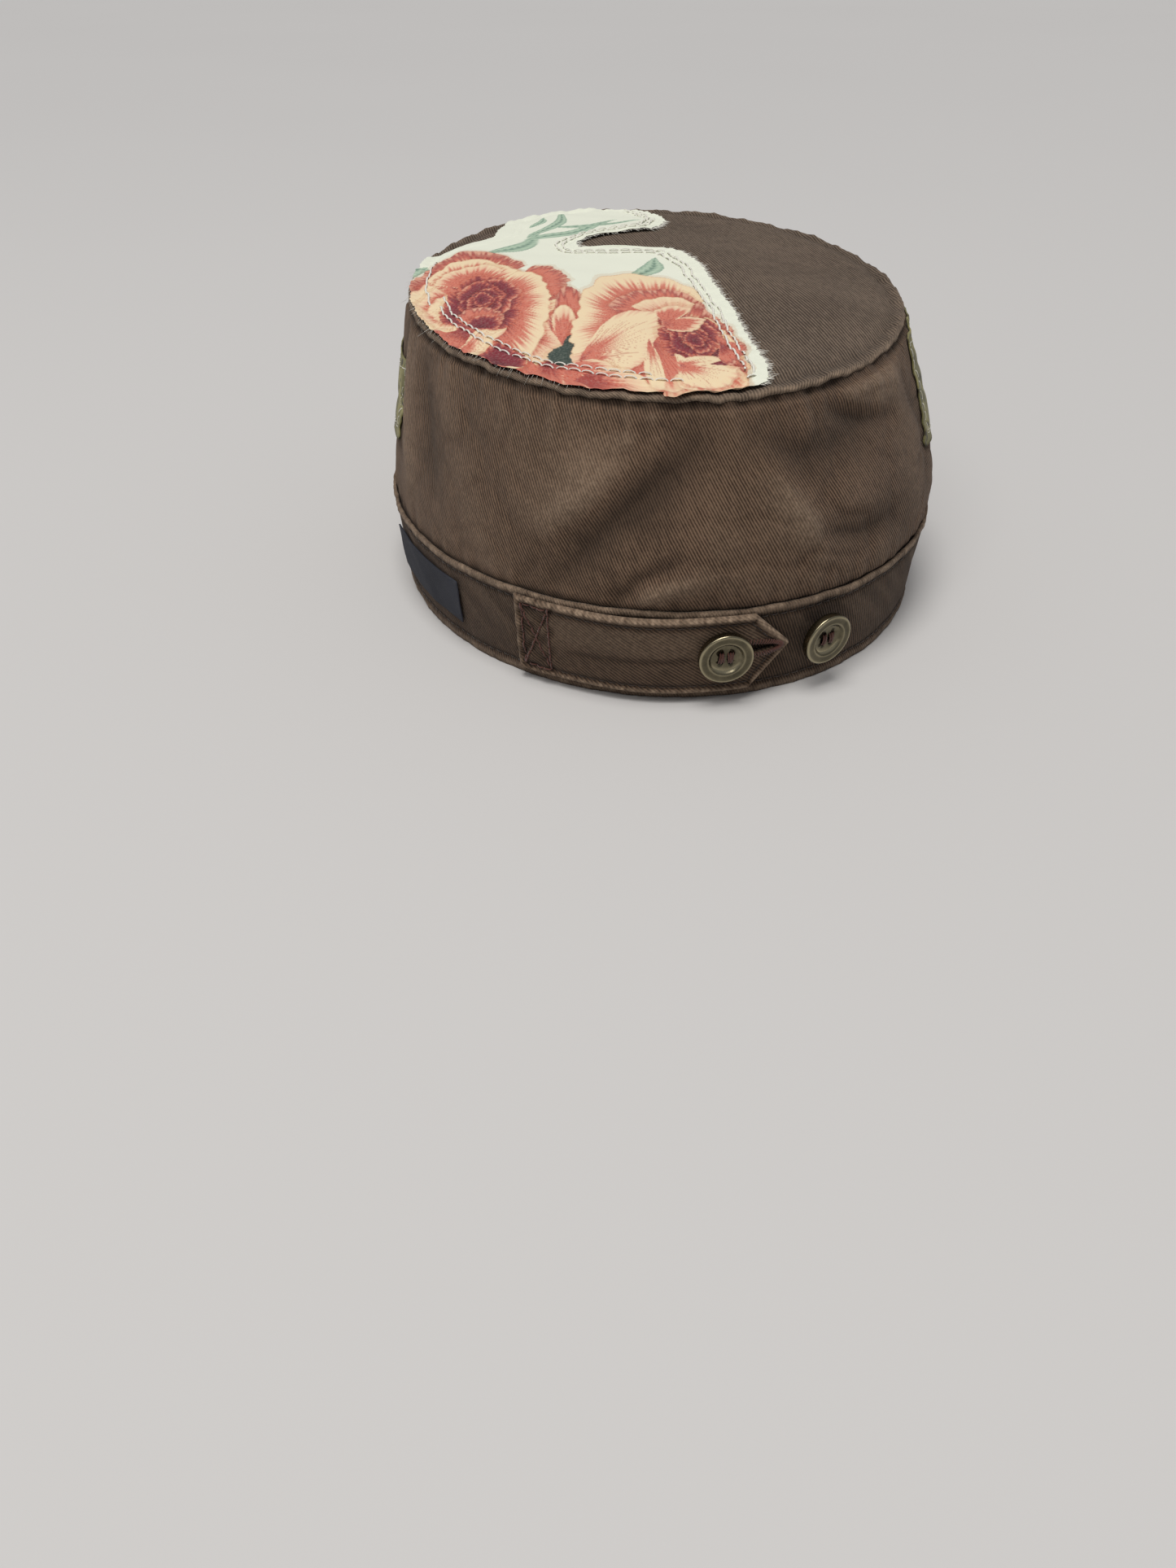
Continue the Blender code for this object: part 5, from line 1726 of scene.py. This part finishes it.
def make_button(side, angle):
    sizes, threads = bpy.context.scene.cap_buttons, bpy.context.scene.cap_stitching
    place = band_matrix(angle, BUTTON_HEIGHT)
    body = side + "_button_set"
    blank = as_mesh(side + "_button_metal", spun(
        button_profile(sizes.radius, sizes.dish_radius), 96))
    data = cut_holes(blank, sizes.hole_radius, sizes.hole_offset)
    data.name = side + "_button_metal"
    x, y, z = places_of(data)
    radius = np.hypot(x, y) / sizes.radius
    # Tone of the brass: the rim and the dish's edge are brighter, as rubbing and painted
    # highlight; the hollow term is a painted highlight on the dish's -y side; the flat ring is
    # darkened as a painted dark reflection, and the middle is darker.
    rubbing_and_painted_light = 0.75 * ridge(radius, 0.955, 0.05) + 0.6 * ridge(
        radius, sizes.dish_radius / sizes.radius + 0.09, 0.03)
    hollow = ridge(radius, sizes.dish_radius / sizes.radius - 0.02, 0.05)
    rubbing_and_painted_light += hollow * ease(-y / sizes.radius, 0.10, 0.45)
    rubbing_and_painted_light -= 0.45 * ridge(radius, 0.78, 0.13) + 0.55 * (radius < 0.46)
    rubbing_and_painted_light *= z > BUTTON_SEAT + 1.2 * MM
    shade = data.attributes.new("tone", "FLOAT", "POINT")
    shade.data.foreach_set("value", rubbing_and_painted_light.astype(np.float32))
    data.transform(place)
    for polygon in data.polygons:
        polygon.use_smooth = True
    data.materials.clear()
    piece = to_piece(side + "_button_metal", data, brass_finish(), body)
    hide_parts(side + "_button")
    rust = thread_finish("rust_thread", threads.rust_thread)
    strands = []
    reach = 2.0 * sizes.hole_offset
    for x in (-sizes.hole_offset, sizes.hole_offset):
        for number, shift in enumerate((-0.55, -0.2, 0.2, 0.55, 0.0)):
            spot = Matrix.Translation((x + shift * MM, 0.0, WEB_FACE + (
                0.32 * MM if number == 4 else 0.0)))
            strands.append(place @ spot @ Matrix.Rotation(
                math.radians(90.0 + 7.0 * math.sin(3.0 * number + x * 900.0)), 4, "Z"))
    piece = copies(side + "_button_strands", stitch_template(reach + 0.5 * MM, 0.26 * MM),
                   strands, rust, body)
    shank = spun(((0.0, 0.2 * MM), (1.3 * MM, 0.3 * MM), (1.15 * MM, 2.0 * MM),
                  (1.4 * MM, BUTTON_SEAT), (2.4 * MM, BUTTON_SEAT + 0.15 * MM),
                  (2.4 * MM, BUTTON_SEAT + 0.5 * MM), (0.0, BUTTON_SEAT + 0.55 * MM)), 24)
    bmesh.ops.transform(shank, matrix=place, verts=shank.verts)
    shank = to_piece(side + "_button_shank", as_mesh(side + "_button_shank", shank), rust, body)
    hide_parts(side + "_button_thread")


# ---------------------------------------------------------------- stage

FLOOR_HALF_SIZE = 60.0
SUN_ANGLE = math.radians(32.0)
SOFTBOX_SIZE = 0.5
CAMERA_PLACE = (0.06308, 0.40365, 0.17736)
CAMERA_FORWARD = (-0.0820, -0.8054, -0.5871)
CAMERA_UP = (-0.0673, -0.5832, 0.8095)
CAMERA_LENS, SENSOR_WIDTH = 27.03, 36.0


def make_stage():
    looks = bpy.context.scene.cap_stage
    floor = bmesh.new()
    bmesh.ops.create_grid(floor, x_segments=8, y_segments=8, size=FLOOR_HALF_SIZE)
    data = as_mesh("floor", floor)
    material = bpy.data.materials.new("floor_paint")
    material.use_nodes = True
    tree = material.node_tree
    shader = tree.nodes["Principled BSDF"]
    shader.inputs["Roughness"].default_value = 0.9
    place = node(tree, "ShaderNodeTexCoord").outputs["Object"]
    cloud = noise(tree, place, 1.3, 2.0)
    pale = tuple(looks.floor)
    tree.links.new(blend_colour(tree, cloud, tuple(0.97 * part for part in pale), pale),
                   shader.inputs["Base Color"])
    data.materials.append(material)
    piece = bpy.data.objects.new("floor", data)
    bpy.context.scene.collection.objects.link(piece)
    for name, kind, place, size, power, tint in (
            ("overhead_light", "SUN", (0.10, 0.16, 0.90), SUN_ANGLE, looks.key,
             (1.0, 0.985, 0.965)),
            ("softbox", "AREA", (0.55, 0.75, 1.10), SOFTBOX_SIZE, looks.fill, (1.0, 0.98, 0.95))):
        light = bpy.data.lights.new(name, kind)
        light.energy, light.color = power, tint
        if kind == "SUN":
            light.angle = size
        else:
            light.shape, light.size = "DISK", size
        lamp = bpy.data.objects.new(name, light)
        lamp.location = place
        lamp.rotation_euler = Vector(place).to_track_quat("Z", "Y").to_euler()
        bpy.context.scene.collection.objects.link(lamp)
    world = bpy.data.worlds.new("studio")
    world.use_nodes = True
    world.node_tree.nodes["Background"].inputs[0].default_value = (0.93, 0.95, 1.0, 1.0)
    world.node_tree.nodes["Background"].inputs[1].default_value = looks.ambient
    bpy.context.scene.world = world
    camera = bpy.data.objects.new("camera", bpy.data.cameras.new("camera"))
    camera.data.lens, camera.data.sensor_width = CAMERA_LENS, SENSOR_WIDTH
    camera.data.clip_start = 0.01
    forward = Vector(CAMERA_FORWARD).normalized()
    upward = Vector(CAMERA_UP)
    side = forward.cross(upward).normalized()
    turn = Matrix((side, side.cross(forward), -forward)).transposed()
    camera.matrix_world = Matrix.Translation(CAMERA_PLACE) @ turn.to_4x4()
    bpy.context.scene.collection.objects.link(camera)
    bpy.context.scene.camera = camera
    bpy.context.scene.view_settings.view_transform = "Standard"


# ---------------------------------------------------------------- settings


def colour_property(name, description, value):
    return FloatVectorProperty(name=name, description=description, default=value, size=3,
                               min=0.0, max=1.0, subtype="COLOR")


def length_property(name, description, value, low, high):
    return FloatProperty(name=name, description=description, default=value * MM, min=low * MM,
                         max=high * MM, unit="LENGTH", precision=5)


class CapCloth(bpy.types.PropertyGroup):
    """Twill of the panels, band, visor and tab."""
    rib_spacing: length_property(
        "Rib spacing", "Distance between two ribs of the twill", 0.85, 0.3, 3.0)
    deep: colour_property("Between ribs", "Dye left between the ribs", (0.047, 0.027, 0.016))
    pale: colour_property("On ribs", "Faded dye on the ribs", (0.208, 0.131, 0.083))
    # Worn lips and rolls, also used as the painted highlight on raised folds of the wall.
    wear_and_highlight: colour_property("Worn edges", "Rubbed lips, rolls and ridges", (0.34, 0.245, 0.170))
    # Darkens the band's and tab's copies of the twill: painted shade.
    band_painted_shade: FloatProperty(
        name="Band shade", description="How dark the band and tab are beside the crown",
        default=0.57, min=0.3, max=1.5, subtype="FACTOR")
    sheen: FloatProperty(
        name="Sheen", description="Soft grey sheen of the brushed cotton", default=0.07,
        min=0.0, max=1.0, subtype="FACTOR")


class CapPrint(bpy.types.PropertyGroup):
    """Printed cotton of the rose patch and the yarn that holds it."""
    ground: colour_property("Ground", "White cotton under the print", (0.86, 0.88, 0.74))
    thread: colour_property("Yarn", "Cream yarn of the running stitches", (0.95, 0.92, 0.82))


class CapStitching(bpy.types.PropertyGroup):
    """Sewing thread of the seams, tab and buttons."""
    pitch: length_property(
        "Stitch pitch", "Length of cloth taken by one stitch", 2.9, 1.0, 8.0)
    thread: length_property(
        "Thread radius", "Radius of the topstitching thread", 0.17, 0.05, 1.0)
    dark_thread: colour_property("Brown thread", "Topstitching", (0.040, 0.024, 0.016))
    rust_thread: colour_property("Rust thread", "Buttonhole, buttons and box",
                                 (0.115, 0.038, 0.024))


class CapButtons(bpy.types.PropertyGroup):
    """Stamped brass buttons."""
    radius: length_property(
        "Radius", "Outer radius of a button", 7.7, 4.0, 15.0)
    dish_radius: length_property(
        "Dish radius", "Radius of the sunk middle", 4.55, 2.0, 12.0)
    hole_radius: length_property(
        "Hole radius", "Radius of a thread hole", 0.75, 0.3, 2.0)
    hole_offset: length_property(
        "Hole offset", "Distance of a hole from both middle lines", 1.25, 0.5, 4.0)
    metal: colour_property("Brass", "Rubbed brass", (0.215, 0.187, 0.122))
    patina: colour_property("Patina", "Tarnished brass", (0.085, 0.075, 0.050))


class CapStage(bpy.types.PropertyGroup):
    """Floor and studio light."""
    floor: colour_property("Floor", "Pale floor", (0.62, 0.605, 0.59))
    key: FloatProperty(name="Overhead light", description="Strength of the soft overhead light",
                       default=2.0, min=0.0, max=20.0)
    fill: FloatProperty(name="Softbox", description="Power of the small softbox",
                        default=3.0, min=0.0, max=500.0, unit="POWER")
    ambient: FloatProperty(name="Ambient", description="Strength of the studio's own light",
                           default=0.26, min=0.0, max=5.0)


# ---------------------------------------------------------------- operators


class CAP_OT_crown(bpy.types.Operator):
    """Sew the top panel with its rolled edge, the folded side walls and their linings"""
    bl_idname = "cap.crown"
    bl_label = "Crown"

    def execute(self, context):
        make_top_panel()
        make_walls()
        make_linings()
        return {"FINISHED"}


class CAP_OT_band(bpy.types.Operator):
    """Sew the band, its topstitching, sweatband and labels"""
    bl_idname = "cap.band"
    bl_label = "Band"

    def execute(self, context):
        make_band()
        make_band_inside()
        make_side_label()
        return {"FINISHED"}


class CAP_OT_visor(bpy.types.Operator):
    """Cover the visor board above and below and stitch it in rows"""
    bl_idname = "cap.visor"
    bl_label = "Visor"

    def execute(self, context):
        make_visor()
        return {"FINISHED"}


class CAP_OT_rose_patch(bpy.types.Operator):
    """Print the rose patch, fray its edge and stitch it to the top"""
    bl_idname = "cap.rose_patch"
    bl_label = "Rose patch"

    def execute(self, context):
        make_rose_patch()
        return {"FINISHED"}


class CAP_OT_side_patches(bpy.types.Operator):
    """Stitch the patches on the front and both sides of the wall"""
    bl_idname = "cap.side_patches"
    bl_label = "Side patches"

    def execute(self, context):
        make_side_patches()
        return {"FINISHED"}


class CAP_OT_tab(bpy.types.Operator):
    """Make the rear tab with its box stitching and buttonhole"""
    bl_idname = "cap.tab"
    bl_label = "Tab"

    def execute(self, context):
        make_tab()
        return {"FINISHED"}


class CAP_OT_buttons(bpy.types.Operator):
    """Turn both buttons and sew them on"""
    bl_idname = "cap.buttons"
    bl_label = "Buttons"

    def execute(self, context):
        for side, angle in BUTTON_ANGLES.items():
            make_button(side, angle)
        return {"FINISHED"}


class CAP_OT_stage(bpy.types.Operator):
    """Lay the floor, set the studio light and place the camera"""
    bl_idname = "cap.stage"
    bl_label = "Stage"

    def execute(self, context):
        make_stage()
        return {"FINISHED"}


OPERATORS = (CAP_OT_crown, CAP_OT_band, CAP_OT_visor, CAP_OT_rose_patch, CAP_OT_side_patches,
             CAP_OT_tab, CAP_OT_buttons, CAP_OT_stage)
SETTINGS = (("cap_cloth", CapCloth), ("cap_print", CapPrint), ("cap_stitching", CapStitching),
            ("cap_buttons", CapButtons), ("cap_stage", CapStage))


class CAP_PT_maker(bpy.types.Panel):
    """Lists the settings and the steps of the cap"""
    bl_label = "Cadet Cap"
    bl_space_type = "VIEW_3D"
    bl_region_type = "UI"
    bl_category = "Cap"

    def draw(self, context):
        for name, group in SETTINGS:
            box = self.layout.box()
            for setting in group.__annotations__:
                box.prop(getattr(context.scene, name), setting)
        for step in OPERATORS:
            self.layout.operator(step.bl_idname)


def register():
    for name, group in SETTINGS:
        bpy.utils.register_class(group)
        setattr(bpy.types.Scene, name, PointerProperty(type=group))
    for made in (*OPERATORS, CAP_PT_maker):
        bpy.utils.register_class(made)


def unregister():
    for made in (CAP_PT_maker, *reversed(OPERATORS)):
        bpy.utils.unregister_class(made)
    for name, group in reversed(SETTINGS):
        delattr(bpy.types.Scene, name)
        bpy.utils.unregister_class(group)


def main():
    register()
    bpy.ops.cap.crown()
    bpy.ops.cap.band()
    bpy.ops.cap.visor()
    bpy.ops.cap.rose_patch()
    bpy.ops.cap.side_patches()
    bpy.ops.cap.tab()
    bpy.ops.cap.buttons()
    bpy.ops.cap.stage()


if __name__ == "__main__":
    main()
